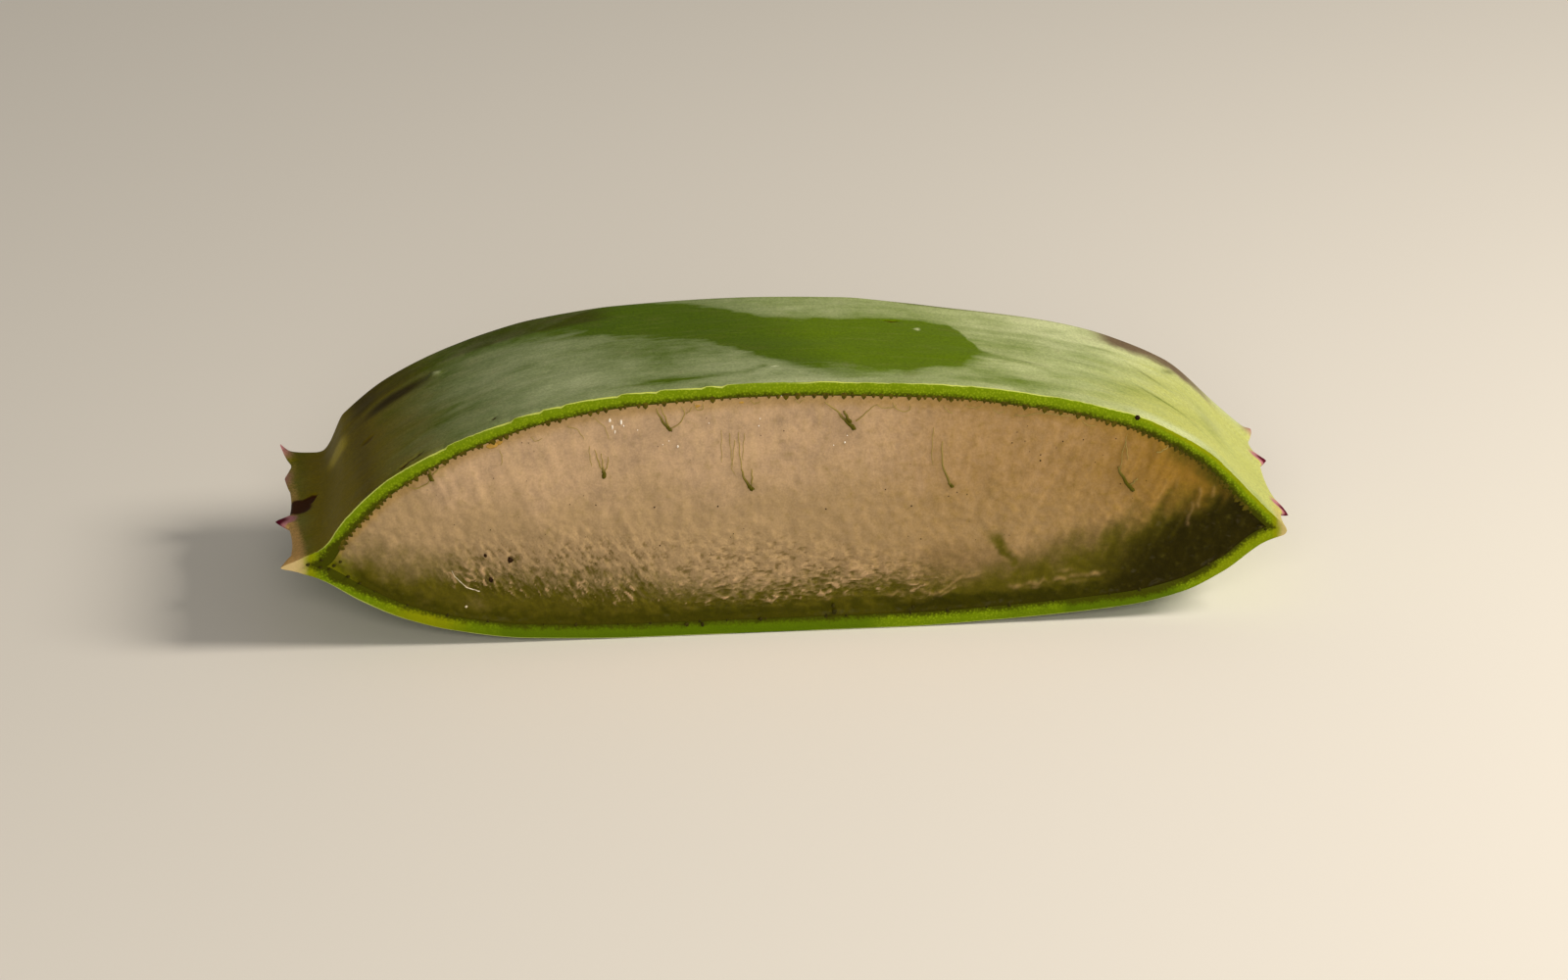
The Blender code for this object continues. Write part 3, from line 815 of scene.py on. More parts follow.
gel = {
    "inset": 1.22,
    "columns": 600,
    "endCrowding": 0.3,           # how much closer the columns lie at both ends
    "frontRows": 124,
    "crowding": 1.35,             # the rows lie closer together towards the torn lower part
    "sideRows": 6,
    "farRows": 24,
    "recess": 0.06,
    "streakDepth": 0.03,
    "foldDepth": 0.055,
    "waveDepth": 0.1,
    "pebbleDepth": 0.07,
    "tornDepth": 0.22,
    "crestHeight": 0.8,
    "ridgeHeight": 0.08,
    # lines across the cut, as (across, height): where the olive zone begins, where it is full, and the upper
    # limit of the torn belt; the brown veil lies over the olive zone on the right
    "oliveStarts": ((-36.2, 10.4), (-31.9, 10.9), (-28.0, 9.4), (-24.1, 8.4), (-20.2, 8.0), (-16.2, 7.9),
                    (-12.3, 7.5), (-8.4, 6.4), (-4.4, 5.4), (-0.5, 5.7), (3.5, 5.9), (7.5, 5.6), (11.4, 6.3),
                    (15.4, 5.8), (19.4, 7.2), (23.3, 8.9), (26.5, 10.1), (29.7, 11.6), (32.8, 13.3),
                    (35.2, 12.9)),
    "oliveFull": ((-36.3, 6.0), (-32.0, 5.3), (-28.1, 5.1), (-24.2, 4.3), (-20.2, 3.6), (-16.3, 3.1),
                  (-12.3, 2.9), (-8.4, 2.5), (-4.4, 2.3), (-0.5, 2.5), (3.5, 2.9), (7.5, 2.8), (11.5, 2.4),
                  (15.4, 3.0), (19.4, 3.8), (23.4, 5.2), (26.6, 6.1), (29.8, 6.8), (32.9, 8.0), (35.7, 9.1)),
    "veil": ((12.0, 6.6), (15.6, 6.5), (18.7, 5.8), (21.9, 7.4), (25.8, 8.5), (29.0, 9.6)),
    "tornTop": ((-29.0, 8.2), (-25.9, 8.6), (-22.7, 9.3), (-16.5, 9.4), (-8.6, 9.0), (-0.7, 8.3), (7.2, 7.0),
                (15.2, 5.3)),
    "amber": ((-8.0, 0.0), (4.0, 0.196), (12.0, 0.363), (20.0, 0.405), (24.0, 0.467), (28.0, 0.602),
              (31.0, 0.747), (36.0, 1.0)),
    # crests that stand out singly: height, width, line of (across, height)
    "crests": (
        (0.8, 0.13, (10.0, 3.2), (10.8, 2.9), (11.7, 2.8), (12.5, 3.2), (13.1, 3.6), (14.0, 4.1),
         (15.6, 4.2)),
        (0.6, 0.12, (10.2, 3.8), (11.0, 3.6), (12.1, 3.7), (13.0, 4.3), (13.8, 4.5)),
        (0.5, 0.12, (11.2, 2.6), (12.2, 2.7), (13.2, 3.2), (14.0, 3.6)),
        (0.75, 0.17, (17.4, 3.1), (18.3, 3.2), (18.9, 3.2), (19.5, 3.4), (20.2, 3.3), (20.6, 3.6),
         (21.4, 3.7), (22.4, 3.7), (23.2, 3.9), (24.2, 3.9), (25.8, 4.1)),
        (0.5, 0.13, (18.6, 2.9), (19.4, 3.0), (20.3, 3.0), (21.0, 3.3)),
        (0.45, 0.15, (20.8, 4.2), (21.6, 4.3), (22.5, 4.4), (23.6, 4.4)),
        (0.4, 0.14, (21.6, 3.2), (22.6, 3.3), (23.8, 3.4), (24.6, 3.5)),
        (0.6, 0.13, (7.2, 2.9), (8.2, 2.8), (9.4, 3.1), (10.0, 3.2)),
        (0.5, 0.13, (2.0, 2.8), (3.0, 2.7), (4.2, 2.8), (4.9, 2.7)),
        (0.5, 0.12, (-8.8, 2.5), (-7.6, 2.4), (-6.9, 2.5)),
    ),
    # thin wet ridges that catch the light: strength, across and height of the upper and of the lower end
    "ridges": (
        (0.6, 2.3, 18.7, 2.3, 17.6), (0.4, 7.6, 16.1, 7.6, 15.0), (0.5, 12.8, 17.4, 12.7, 15.3),
        (0.5, 14.4, 15.1, 14.3, 13.2), (0.4, 21.5, 16.8, 21.2, 14.6), (0.4, 20.2, 14.1, 20.0, 12.9),
        (0.4, 19.1, 17.4, 18.9, 15.7), (1.0, 32.7, 9.8, 32.2, 7.8), (1.0, 33.3, 11.2, 33.1, 9.3),
        (1.0, 34.5, 11.3, 34.2, 10.2), (0.8, 30.6, 12.1, 29.8, 10.1), (0.8, 28.8, 13.8, 28.4, 12.8),
        (0.7, 31.6, 12.2, 31.2, 11.0), (0.7, 29.6, 15.3, 29.3, 14.3), (0.5, 24.7, 14.3, 24.2, 12.6),
        (0.4, 17.3, 13.1, 17.2, 11.9),
    ),
    # a green streak in the gel, as (height, across)
    "smear": ((4.7, 18.5), (5.5, 18.0), (6.4, 17.4), (7.3, 16.8), (8.2, 16.2)),
    "nearSeed": 60,
    "farSeed": 160,
}


def fanPlace(x, z):
    # place across the fan of streaks: upright in the middle, and leaning out by the square of the distance
    return x + (20.0 - z) * 0.53 * x * np.abs(x) / 32.0 ** 2


def tearing(x, z, seed):
    # how strongly the gel is torn, 0 to 1, how high each place of it stands, 0 in a hollow and 1 on a crest,
    # and how far the tears lean: on the left steeply with the fan, elsewhere they lie almost level
    full, top = alongLine(gel["oliveFull"], x), alongLine(gel["tornTop"], x)
    strength = ramp(top + 2.0, top - 2.4, z) * ramp(full - 1.2, full + 0.6, z)
    strength = strength * ramp(-31.0, -25.0, x) * ramp(18.0, 8.0, x)
    lean = ramp(-4.0, -14.0, x)
    bendX, bendZ = latticeNoise(x * 0.7, z * 0.9, seed + 40), latticeNoise(x * 0.6 + 9.0, z * 0.8, seed + 41)
    tilted = x + 0.55 * z
    lumps = lean * layeredNoise(tilted * 2.5 + 0.3 * bendX, z * 1.4 + 0.3 * bendZ, seed + 42, 2)
    lumps = lumps + (1.0 - lean) * layeredNoise(x * 1.5 + 0.4 * bendX, z * 2.5 + 0.5 * bendZ, seed + 43, 2)
    wrinkles = lean * crestNoise(tilted * 3.0 - 0.5 * bendX, z * 1.9 - 0.5 * bendZ, seed + 44)
    wrinkles = wrinkles + (1.0 - lean) * crestNoise(x * 1.6 - 0.6 * bendX, z * 3.2 - 0.7 * bendZ, seed + 46)
    stand = 0.42 + 0.27 * lumps + 0.5 * (wrinkles - 0.57)
    return strength, np.clip(stand, 0.0, 1.0), lean


def singleCrests(x, z, seed):
    # height of the single crests: a ridge along each line, uneven in height and width
    ridge = np.zeros(np.broadcast(x, z).shape)
    uneven = np.clip(0.7 + 0.5 * layeredNoise(x * 1.9, z * 0.8, seed + 47, 2), 0.0, 1.3)
    for tall, width, *line in gel["crests"]:
        ends = ramp(-0.3, 1.2, x - line[0][0]) * ramp(-0.3, 1.2, line[-1][0] - x)
        middle = alongLine(line, x) + 0.12 * layeredNoise(x * 1.7, x * 0.0, seed + 48, 2)
        ridge = np.maximum(ridge, tall * ends * uneven * hump(z, middle, 1.4 * width))
    return ridge


def ridgeField(x, z):
    # strength of the thin ridges: a narrow bell across each of them, with soft ends
    field = np.zeros(np.broadcast(x, z).shape)
    for strength, topX, topZ, lowX, lowZ in gel["ridges"]:
        middle = lowX + (topX - lowX) * (z - lowZ) / (topZ - lowZ) + 0.06 * np.sin(z * 4.1 + topX)
        ends = ramp(lowZ - 0.2, lowZ + 0.3, z) * ramp(topZ + 0.2, topZ - 0.3, z)
        field = np.maximum(field, strength * ends * hump(x, middle, 0.2))
    return field


def rightFolds(x, z, seed):
    # long folds on the right that lean out over the corner, -1 to 1
    return ramp(14.0, 28.0, x) * layeredNoise((x - 0.5 * z) * 1.1, z * 0.2, seed + 14, 2)


def gelRelief(x, z, seed):
    # how far the gel stands out of the cut plane, in millimetres
    streaks = gel["streakDepth"] * layeredNoise(fanPlace(x, z) * 0.8, z * 0.16, seed)
    leftFolds = ramp(0.0, -22.0, x) * ramp(18.5, 13.5, z)
    leftFolds = leftFolds * layeredNoise((x + 0.45 * z) * 1.15, z * 0.22, seed + 10, 2)
    folds = gel["foldDepth"] * (leftFolds + 2.2 * rightFolds(x, z, seed))
    waves = gel["waveDepth"] * layeredNoise(x * 0.13, z * 0.2, seed + 20)
    pebbles = gel["pebbleDepth"] * ramp(16.0, 9.0, z) * layeredNoise(x * 1.4, z * 1.8, seed + 25, 2)
    strength, stand, _ = tearing(x, z, seed)
    torn = 1.6 * strength * (stand - 0.4) + gel["crestHeight"] * singleCrests(x, z, seed)
    raised = gel["tornDepth"] * torn + gel["ridgeHeight"] * ridgeField(x, z)
    return streaks + folds + waves + pebbles + raised - gel["recess"]


gelLine = {"x": np.linspace(*insetEnds(gel["inset"]), 1601)}
gelLine["upper"], gelLine["lower"] = insetHeights(gelLine["x"], gel["inset"])


def gelFront(x, z):
    # the place on the near face of the gel at x and z of the part's frame
    x = x - leaf["centring"][0]
    upper, lower = (np.interp(x, gelLine["x"], gelLine[name]) for name in ("upper", "lower"))
    points = placeInLeaf(x, z, 0.0)
    settle = ramp(0.0, 0.5, np.minimum(upper - z, z - lower))
    points[..., 1] -= gelRelief(x, z, gel["nearSeed"]) * settle
    return points


def tintGel(x, z, upper, lower, seed):
    # masks of the colours on a cut face of the gel
    starts, full = alongLine(gel["oliveStarts"], x), alongLine(gel["oliveFull"], x)
    strength, stand, lean = tearing(x, z, seed)
    slow, quick = layeredNoise(x * 0.4, z * 0.45, seed + 57), layeredNoise(x * 1.1, z * 1.3, seed + 58)
    # the olive tissue shows through where the gel thins out; crests stand over it and hollows let it through
    raised = z + 1.3 * (stand - 0.42) * strength + 0.2 * quick + rightFolds(x, z, seed)
    olive = np.clip((starts - raised) / (starts - full), 0.0, 1.0)
    through = ramp(full + 5.7, full + 1.0, z) * ramp(4.0, -10.0, x)
    through = 0.55 * strength * through * ramp(0.3, 0.1, stand) * ramp(-0.5, 0.3, slow)
    # painted highlight: the crests of the torn belt are painted lighter where the light catches them
    crest = strength * (0.2 + 0.6 * ramp(full + 5.3, full + 0.8, z)) * ramp(0.45, 0.8, stand)
    crest = crest * ramp(full - 1.0, full + 0.8, z)
    smear = hump(x + 0.35 * quick, alongLine(gel["smear"], z), 0.75)
    smear = smear * ramp(4.0, 5.2, z) * ramp(8.8, 7.0, z)
    edge = ramp(2.8, 0.2, upper - z + 0.3 * quick) * ramp(27.0, 34.5, x)
    veil = ramp(9.5, 12.0, x) * ramp(29.0, 26.0, x)
    veil = 0.62 * veil * ramp(1.3, -0.8, z - alongLine(gel["veil"], x) + 0.4 * slow)
    corner = olive ** 1.5 * ramp(20.5, 33.0, x + 0.6 * (full - z) + 0.6 * slow)
    foot = ramp(2.0, 0.6, z - lower) * ramp(6.0, 11.0, x)
    return {
        "grain": np.stack(np.broadcast_arrays(fanPlace(x, z), z, 0.0), axis=-1),
        "torn": strength,
        "lean": lean + 0.0 * z,
        "lower": ramp(17.5, 8.0, z + 1.2 * slow) + 0.35 * ramp(-26.0, -33.0, x),
        "amber": alongLine(gel["amber"], x) + 0.15 * ramp(8.0, 14.0, z) * ramp(6.0, 16.0, x),
        # painted shading in a narrow band just below the upper rind and its bead row
        "shadingBelowRind": ramp(1.5, 0.1, upper - z),
        "veil": veil,
        # painted shading in the hollows of the torn belt
        "hollow": 0.6 * strength * ramp(0.42, 0.12, stand),
        "olive": np.maximum.reduce([olive, through, 0.85 * smear, 0.7 * edge]),
        "deep": ramp(2.0, 0.4, z - lower + 0.5 * quick) * (0.75 + 0.35 * ramp(7.0, 13.0, x)),
        "corner": np.maximum.reduce([corner, 0.35 * edge, 0.45 * foot]),
        "crest": crest,
        "ridge": np.maximum(0.85 * singleCrests(x, z, seed), 0.38 * ridgeField(x, z)),
        "leafy": 0.8 * ramp(-34.0, -37.2, x + 0.25 * (z - 7.5)) * ramp(9.3, 8.0, z),
    }


def makeGel(material):
    # a closed tube of columns across the leaf: up the near face, back over the top, down the far face and
    # forward underneath; the first and last column have no height, so that both ends close
    left, right = insetEnds(gel["inset"])
    t = np.linspace(0.0, 1.0, gel["columns"])
    x = left + (right - left) * (t - gel["endCrowding"] * np.sin(math.tau * t) / math.tau)
    upper, lower = insetHeights(x, gel["inset"])
    upper[[0, -1]] = lower[[0, -1]] = (upper[[0, -1]] + lower[[0, -1]]) / 2
    up = np.linspace(0.0, 1.0, gel["frontRows"])[:, None] ** gel["crowding"]
    back = np.linspace(0.0, 1.0, gel["sideRows"] + 2)[1:-1, None]
    down = np.linspace(1.0, 0.0, gel["farRows"])[:, None]
    height = np.concatenate([
        lower + (upper - lower) * up,
        np.broadcast_to(upper, (gel["sideRows"], len(x))),
        lower + (upper - lower) * down,
        np.broadcast_to(lower, (gel["sideRows"], len(x))),
    ])
    share = np.concatenate([0.0 * up, back, 0.0 * down + 1.0, back[::-1]])
    across = np.broadcast_to(x, height.shape)
    points = placeInLeaf(across, height, share)
    settle = ramp(0.0, 0.5, np.minimum(upper - height, height - lower))
    near, far = np.arange(len(height)) < gel["frontRows"], share[:, 0] == 1.0
    tints = {}
    for rows, seed, side in ((near, gel["nearSeed"], -1.0), (far, gel["farSeed"], 1.0)):
        points[rows, :, 1] += side * (gelRelief(across, height, seed) * settle)[rows]
        for name, values in tintGel(across, height, upper, lower, seed).items():
            tints.setdefault(name, values.copy())[~near] = values[~near]
    piece = makePiece("leafGel", points, [gridFaces(len(height), len(x), True, False)], [material],
                      tints, weld=True)
    piece.data.set_sharp_from_angle(angle=math.radians(70))
    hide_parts("gel")


# Bundles, strands and small things on the cut

def closeRings(rings, first, last):
    # closed bodies made of rings of points (bodies, rings, sides, 3), with a pole at each end
    bodies, count, sides = rings.shape[:3]
    points = np.concatenate([rings.reshape(bodies, -1, 3), first, last], axis=1)
    k = np.arange(sides)
    after, end, pole = (k + 1) % sides, (count - 1) * sides, np.full(sides, count * sides)
    caps = np.concatenate([np.stack([after, k, pole], axis=1),
                           np.stack([end + k, end + after, pole + 1], axis=1)])
    offsets = (np.arange(bodies) * points.shape[1])[:, None, None]
    faces = [(group + offsets).reshape(-1, group.shape[1])
             for group in (gridFaces(count, sides, False, True), caps)]
    points = points.reshape(-1, 3)
    return points, facingOut(points, faces)


def closedTubes(centres, radii, sideways, outwards, sides, taper=0.0):
    # tubes side by side, narrower to the outward side by the taper;
    # centres and directions (tubes, rings, 3), radii (tubes, rings)
    angle = (np.arange(sides) + 0.5) * math.tau / sides
    wide = np.cos(angle) * (1.0 - taper * np.sin(angle))
    ring = wide[:, None] * sideways[:, :, None, :] + np.sin(angle)[:, None] * outwards[:, :, None, :]
    ring = centres[:, :, None, :] + ring * radii[:, :, None, None]
    return closeRings(ring, centres[:, :1], centres[:, -1:])


bundles = {
    "spacing": 0.75,
    "fringeSpacing": 0.5,
    "fringe": (-17.0, 11.0),      # left and right of this stretch the row gets dense
    "lowerSpacing": 3.3,
    "jitter": 0.3,
    "size": (0.35, 1.15),
    "lowerSize": (0.2, 0.65),
    "width": 0.25,
    "hang": 0.34,
    "stickOut": 0.05,
    "profile": (0.55, 0.9, 1.0, 1.0, 0.9, 0.55),   # width at its rings, so that both ends are pointed
    "sides": 6,
}


def bundleRow(above, seed):
    # places of the bundles along one border, closer together in the dense stretch
    random = np.random.default_rng(seed)
    x = np.linspace(*insetEnds(rind["thickness"]), 3001)[40:-40]
    upper, lower = insetHeights(x, rind["thickness"])
    height = upper if above else lower
    step = np.hypot(np.gradient(x), np.gradient(height))
    low, high = bundles["fringe"]
    spacing = np.full(len(x), bundles["spacing"] if above else bundles["lowerSpacing"])
    if above:
        dense = np.maximum(ramp(low + 1.5, low - 1.5, x), ramp(high - 1.5, high + 1.5, x))
        spacing = spacing + (bundles["fringeSpacing"] - bundles["spacing"]) * dense
    count = np.cumsum(step / spacing)
    jitter = bundles["jitter"]
    places = np.arange(1, int(count[-1])) + random.uniform(-jitter, jitter, int(count[-1]) - 1)
    place = np.interp(places, count, x)
    slope = np.interp(place, x, np.gradient(height, x))
    return place, np.interp(place, x, height), slope, random


def makeBundles(materials):
    # each bundle runs the whole slice between rind and gel and stands out of both cuts as a pointed bead
    points, faces, faceMaterial, start = [], [], [], 0
    for above, seed in ((True, 5), (False, 6)):
        x, z, slope, random = bundleRow(above, seed)
        inwards = np.stack([slope, -np.ones_like(slope)]) * (1.0 if above else -1.0)
        inwards = inwards / np.linalg.norm(inwards, axis=0)
        size = random.uniform(*bundles["size" if above else "lowerSize"], len(x))
        out = bundles["stickOut"] / leaf["length"]
        share = np.array([-out, -0.6 * out, 0.0, 1.0, 1.0 + 0.6 * out, 1.0 + out])
        centres = placeInLeaf(x[:, None], z[:, None], share)
        radii = size[:, None] * bundles["width"] * np.array(bundles["profile"])
        deep, flat = np.zeros((2, *centres.shape))
        deep[..., 0], deep[..., 2] = inwards[..., None]
        flat[..., 0], flat[..., 2] = -deep[..., 2], deep[..., 0]
        tall = bundles["hang"] / bundles["width"]
        tubePoints, tubeFaces = closedTubes(centres, radii, flat, deep * tall, bundles["sides"], 0.45)
        points.append(tubePoints)
        faces += [group + start for group in tubeFaces]
        faceMaterial += [np.full(len(group), 0 if above else 1) for group in tubeFaces]
        start += len(tubePoints)
    makePiece("vascularBundles", np.concatenate(points), faces, materials,
              faceMaterial=np.concatenate(faceMaterial))


strands = {
    "rings": 18,
    "wiggle": 0.03,
    "sides": 6,
    # torn strands on the cut: thickness at the start and the end, then the line as (across, height)
    "threads": (
        # tuft by the left shoulder
        (0.04, 0.06, (-31.1, 13.92), (-30.25, 13.6), (-29.35, 13.85), (-28.98, 14.39)),
        (0.1, 0.13, (-29.06, 15.32), (-29.00, 14.89), (-28.94, 14.39)),
        (0.03, 0.08, (-27.76, 15.46), (-28.28, 15.28), (-28.82, 14.72)),
        (0.16, 0.19, (-29.05, 14.8), (-28.83, 14.21)),
        # long tuft left of the middle
        (0.03, 0.03, (-18.03, 18.44), (-17.35, 18.27), (-16.88, 17.74), (-16.68, 17.23)),
        (0.03, 0.03, (-16.28, 16.62), (-16.23, 15.75), (-16.09, 14.88)),
        (0.03, 0.03, (-15.92, 19.08), (-15.31, 18.62), (-14.84, 17.95), (-14.73, 17.15)),
        (0.03, 0.07, (-15.81, 16.32), (-15.55, 15.28), (-15.28, 14.55)),
        (0.03, 0.06, (-15.34, 16.00), (-15.21, 15.13), (-15.15, 14.47)),
        (0.03, 0.06, (-14.74, 15.69), (-14.81, 14.97), (-15.02, 14.39)),
        (0.07, 0.24, (-15.22, 14.75), (-15.12, 14.25), (-15.06, 13.9)),
        # small fork near the top
        (0.06, 0.15, (-10.9, 19.68), (-10.63, 19.02), (-10.3, 18.42), (-9.9, 17.97)),
        (0.04, 0.08, (-10.56, 19.88), (-10.23, 19.01), (-9.9, 18.11)),
        (0.05, 0.04, (-9.76, 17.96), (-9.21, 18.24), (-8.8, 18.66), (-8.6, 19.23), (-8.87, 19.81)),
        (0.14, 0.17, (-10.02, 18.15), (-9.72, 17.75)),
        # long tuft in the middle
        (0.025, 0.025, (-5.68, 17.66), (-5.72, 16.35), (-5.67, 14.88)),
        (0.03, 0.03, (-5.07, 17.34), (-4.98, 16.17), (-4.8, 14.42)),
        (0.025, 0.03, (-4.66, 16.75), (-4.74, 15.58), (-4.95, 14.42), (-4.6, 13.68)),
        (0.03, 0.05, (-4.33, 17.45), (-4.3, 16.29), (-4.19, 14.98), (-4.06, 14.16)),
        (0.025, 0.025, (-3.85, 17.29), (-3.98, 15.99), (-3.99, 14.97)),
        (0.07, 0.15, (-4.09, 14.24), (-3.93, 13.5), (-3.58, 12.9), (-3.22, 12.45)),
        (0.04, 0.09, (-3.31, 14.21), (-3.24, 13.47), (-3.31, 12.81)),
        (0.14, 0.2, (-3.52, 12.75), (-3.17, 12.4)),
        # fork right of the middle
        (0.04, 0.1, (2.62, 19.69), (3.17, 19.27), (3.71, 18.81), (4.12, 18.29)),
        (0.08, 0.2, (3.71, 18.74), (4.19, 18.14), (4.67, 17.68), (4.97, 17.3)),
        (0.1, 0.15, (4.12, 18.94), (4.33, 18.43), (4.74, 17.82)),
        (0.06, 0.04, (5.08, 18.03), (5.48, 18.27), (5.96, 18.79), (6.37, 19.15), (6.78, 19.35)),
        (0.16, 0.19, (4.7, 17.75), (4.96, 17.27)),
        # long strand on the right
        (0.03, 0.03, (11.34, 17.19), (11.21, 15.06), (11.31, 13.82)),
        (0.04, 0.12, (12.07, 15.94), (12.03, 14.1), (12.38, 13.00), (12.82, 12.06)),
        (0.1, 0.17, (12.59, 12.39), (12.93, 11.98)),
        # tuft by the right shoulder
        (0.1, 0.19, (26.32, 13.21), (26.53, 12.59), (27.12, 11.64), (27.57, 11.06)),
        (0.09, 0.04, (27.36, 11.52), (27.98, 12.16)),
        (0.03, 0.03, (26.52, 13.05), (26.64, 14.43), (27.04, 15.96)),
        (0.03, 0.03, (26.91, 15.35), (27.08, 13.8)),
        (0.12, 0.18, (27.22, 11.45), (27.63, 11.04)),
        (0.05, 0.05, (29.39, 14.32), (30.11, 14.6), (30.39, 14.9)),
        # loops and loose curls along the bead row
        (0.035, 0.035, (6.71, 19.35), (7.39, 19.00), (8.14, 19.08), (8.34, 19.29)),
        (0.04, 0.04, (8.00, 19.44), (8.35, 18.92), (8.96, 18.56), (9.5, 18.83), (9.44, 19.17)),
        (0.035, 0.035, (-3.36, 20.11), (-3.1, 19.76), (-2.69, 19.86), (-2.55, 20.08)),
        (0.035, 0.035, (-7.84, 19.99), (-7.71, 19.48), (-7.31, 19.39), (-7.1, 19.74), (-7.17, 20.04)),
        (0.035, 0.035, (-8.53, 19.22), (-8.25, 19.35), (-8.06, 19.78)),
        (0.04, 0.04, (17.94, 18.02), (18.56, 17.77), (19.47, 18.06), (20.39, 18.09), (21.46, 17.89),
         (22.23, 17.63), (22.84, 17.83)),
        (0.035, 0.035, (12.14, 19.00), (12.44, 18.57), (12.9, 18.29)),
        (0.03, 0.03, (13.81, 19.00), (14.58, 18.71), (15.34, 18.88)),
        (0.03, 0.03, (-20.9, 17.6), (-20.5, 17.2), (-20.0, 17.5)),
        (0.03, 0.03, (-23.4, 16.6), (-23.2, 15.9), (-23.3, 15.3)),
        (0.03, 0.03, (0.2, 20.1), (0.5, 19.7), (0.9, 20.0)),
        (0.03, 0.03, (16.1, 18.6), (16.5, 18.2), (17.1, 18.3)),
        (0.03, 0.03, (23.3, 17.3), (23.9, 16.8), (24.5, 16.9)),
    ),
}


def resample(line, count):
    # points spread evenly along a line, its corners rounded by averaging with both neighbours
    line = np.array(line)
    run = np.concatenate([[0.0], np.cumsum(np.hypot(*np.diff(line, axis=0).T))])
    even = np.linspace(0.0, run[-1], count)
    line = np.stack([np.interp(even, run, line[:, k]) for k in (0, 1)], axis=1)
    for _ in range(4):
        line[1:-1] = (line[:-2] + 2.0 * line[1:-1] + line[2:]) / 4.0
    return line


def layTubes(flat, radii, sides, proud=0.35):
    # tubes along lines (tubes, rings, 2) on the near face; proud is how many radii their middle stands out
    paths = gelFront(flat[..., 0], flat[..., 1])
    paths[..., 1] -= proud * radii
    along = np.gradient(paths, axis=1)
    along = along / np.linalg.norm(along, axis=2, keepdims=True)
    out = np.zeros(paths.shape)
    out[..., 1] = -1.0
    sideways = np.cross(along, out)
    sideways = sideways / np.linalg.norm(sideways, axis=2, keepdims=True)
    points, faces = closedTubes(paths, radii, sideways, out, sides)
    stout = np.concatenate([np.repeat(radii, sides, axis=1), radii[:, :1], radii[:, -1:]], axis=1).ravel()
    return points, faces, stout


def makeStrands(material):
    # each strand follows its line with a small seeded wiggle, and grows from its first to its last thickness
    random = np.random.default_rng(8)
    count = strands["rings"]
    t = np.linspace(0.0, 1.0, count)
    first, last = np.array([row[:2] for row in strands["threads"]]).T
    flat = np.array([resample(row[2:], count) for row in strands["threads"]])
    phase = random.uniform(0.0, math.tau, (len(flat), 2, 1))
    for axis, waves in enumerate((2.3, 1.9)):
        flat[..., axis] += strands["wiggle"] * np.sin(math.tau * waves * t + phase[:, axis])
    radii = (first[:, None] + (last - first)[:, None] * t) * np.sqrt(np.clip(5.0 * (1.0 - t) + 0.2, 0.0, 1.0))
    points, faces, stout = layTubes(flat, radii, strands["sides"])
    makePiece("tornStrands", points, faces, [material], {"stout": ramp(0.03, 0.15, stout)})


def domes(places, sizes, tall, seed, sides=8):
    # flattened blobs with an uneven outline that lie on the near face, half sunk in:
    # three rings and two poles each; sizes are the radii across and upwards
    angle = np.arange(sides) * math.tau / sides
    wobble = np.random.default_rng(seed).uniform(0.75, 1.2, (len(places), 1, sides))
    level = np.array([-0.6, 0.0, 0.6])[None, :, None] + 0.0 * wobble
    width = np.sqrt(1.0 - level ** 2) * wobble
    offset = np.stack([np.cos(angle) * width * sizes[:, 0, None, None], -level * tall[:, None, None],
                       np.sin(angle) * width * sizes[:, 1, None, None]], axis=-1)
    rise = tall[:, None, None] * np.array([0.0, 1.0, 0.0])
    return closeRings(places[:, None, None, :] + offset, places[:, None] + rise, places[:, None] - rise)


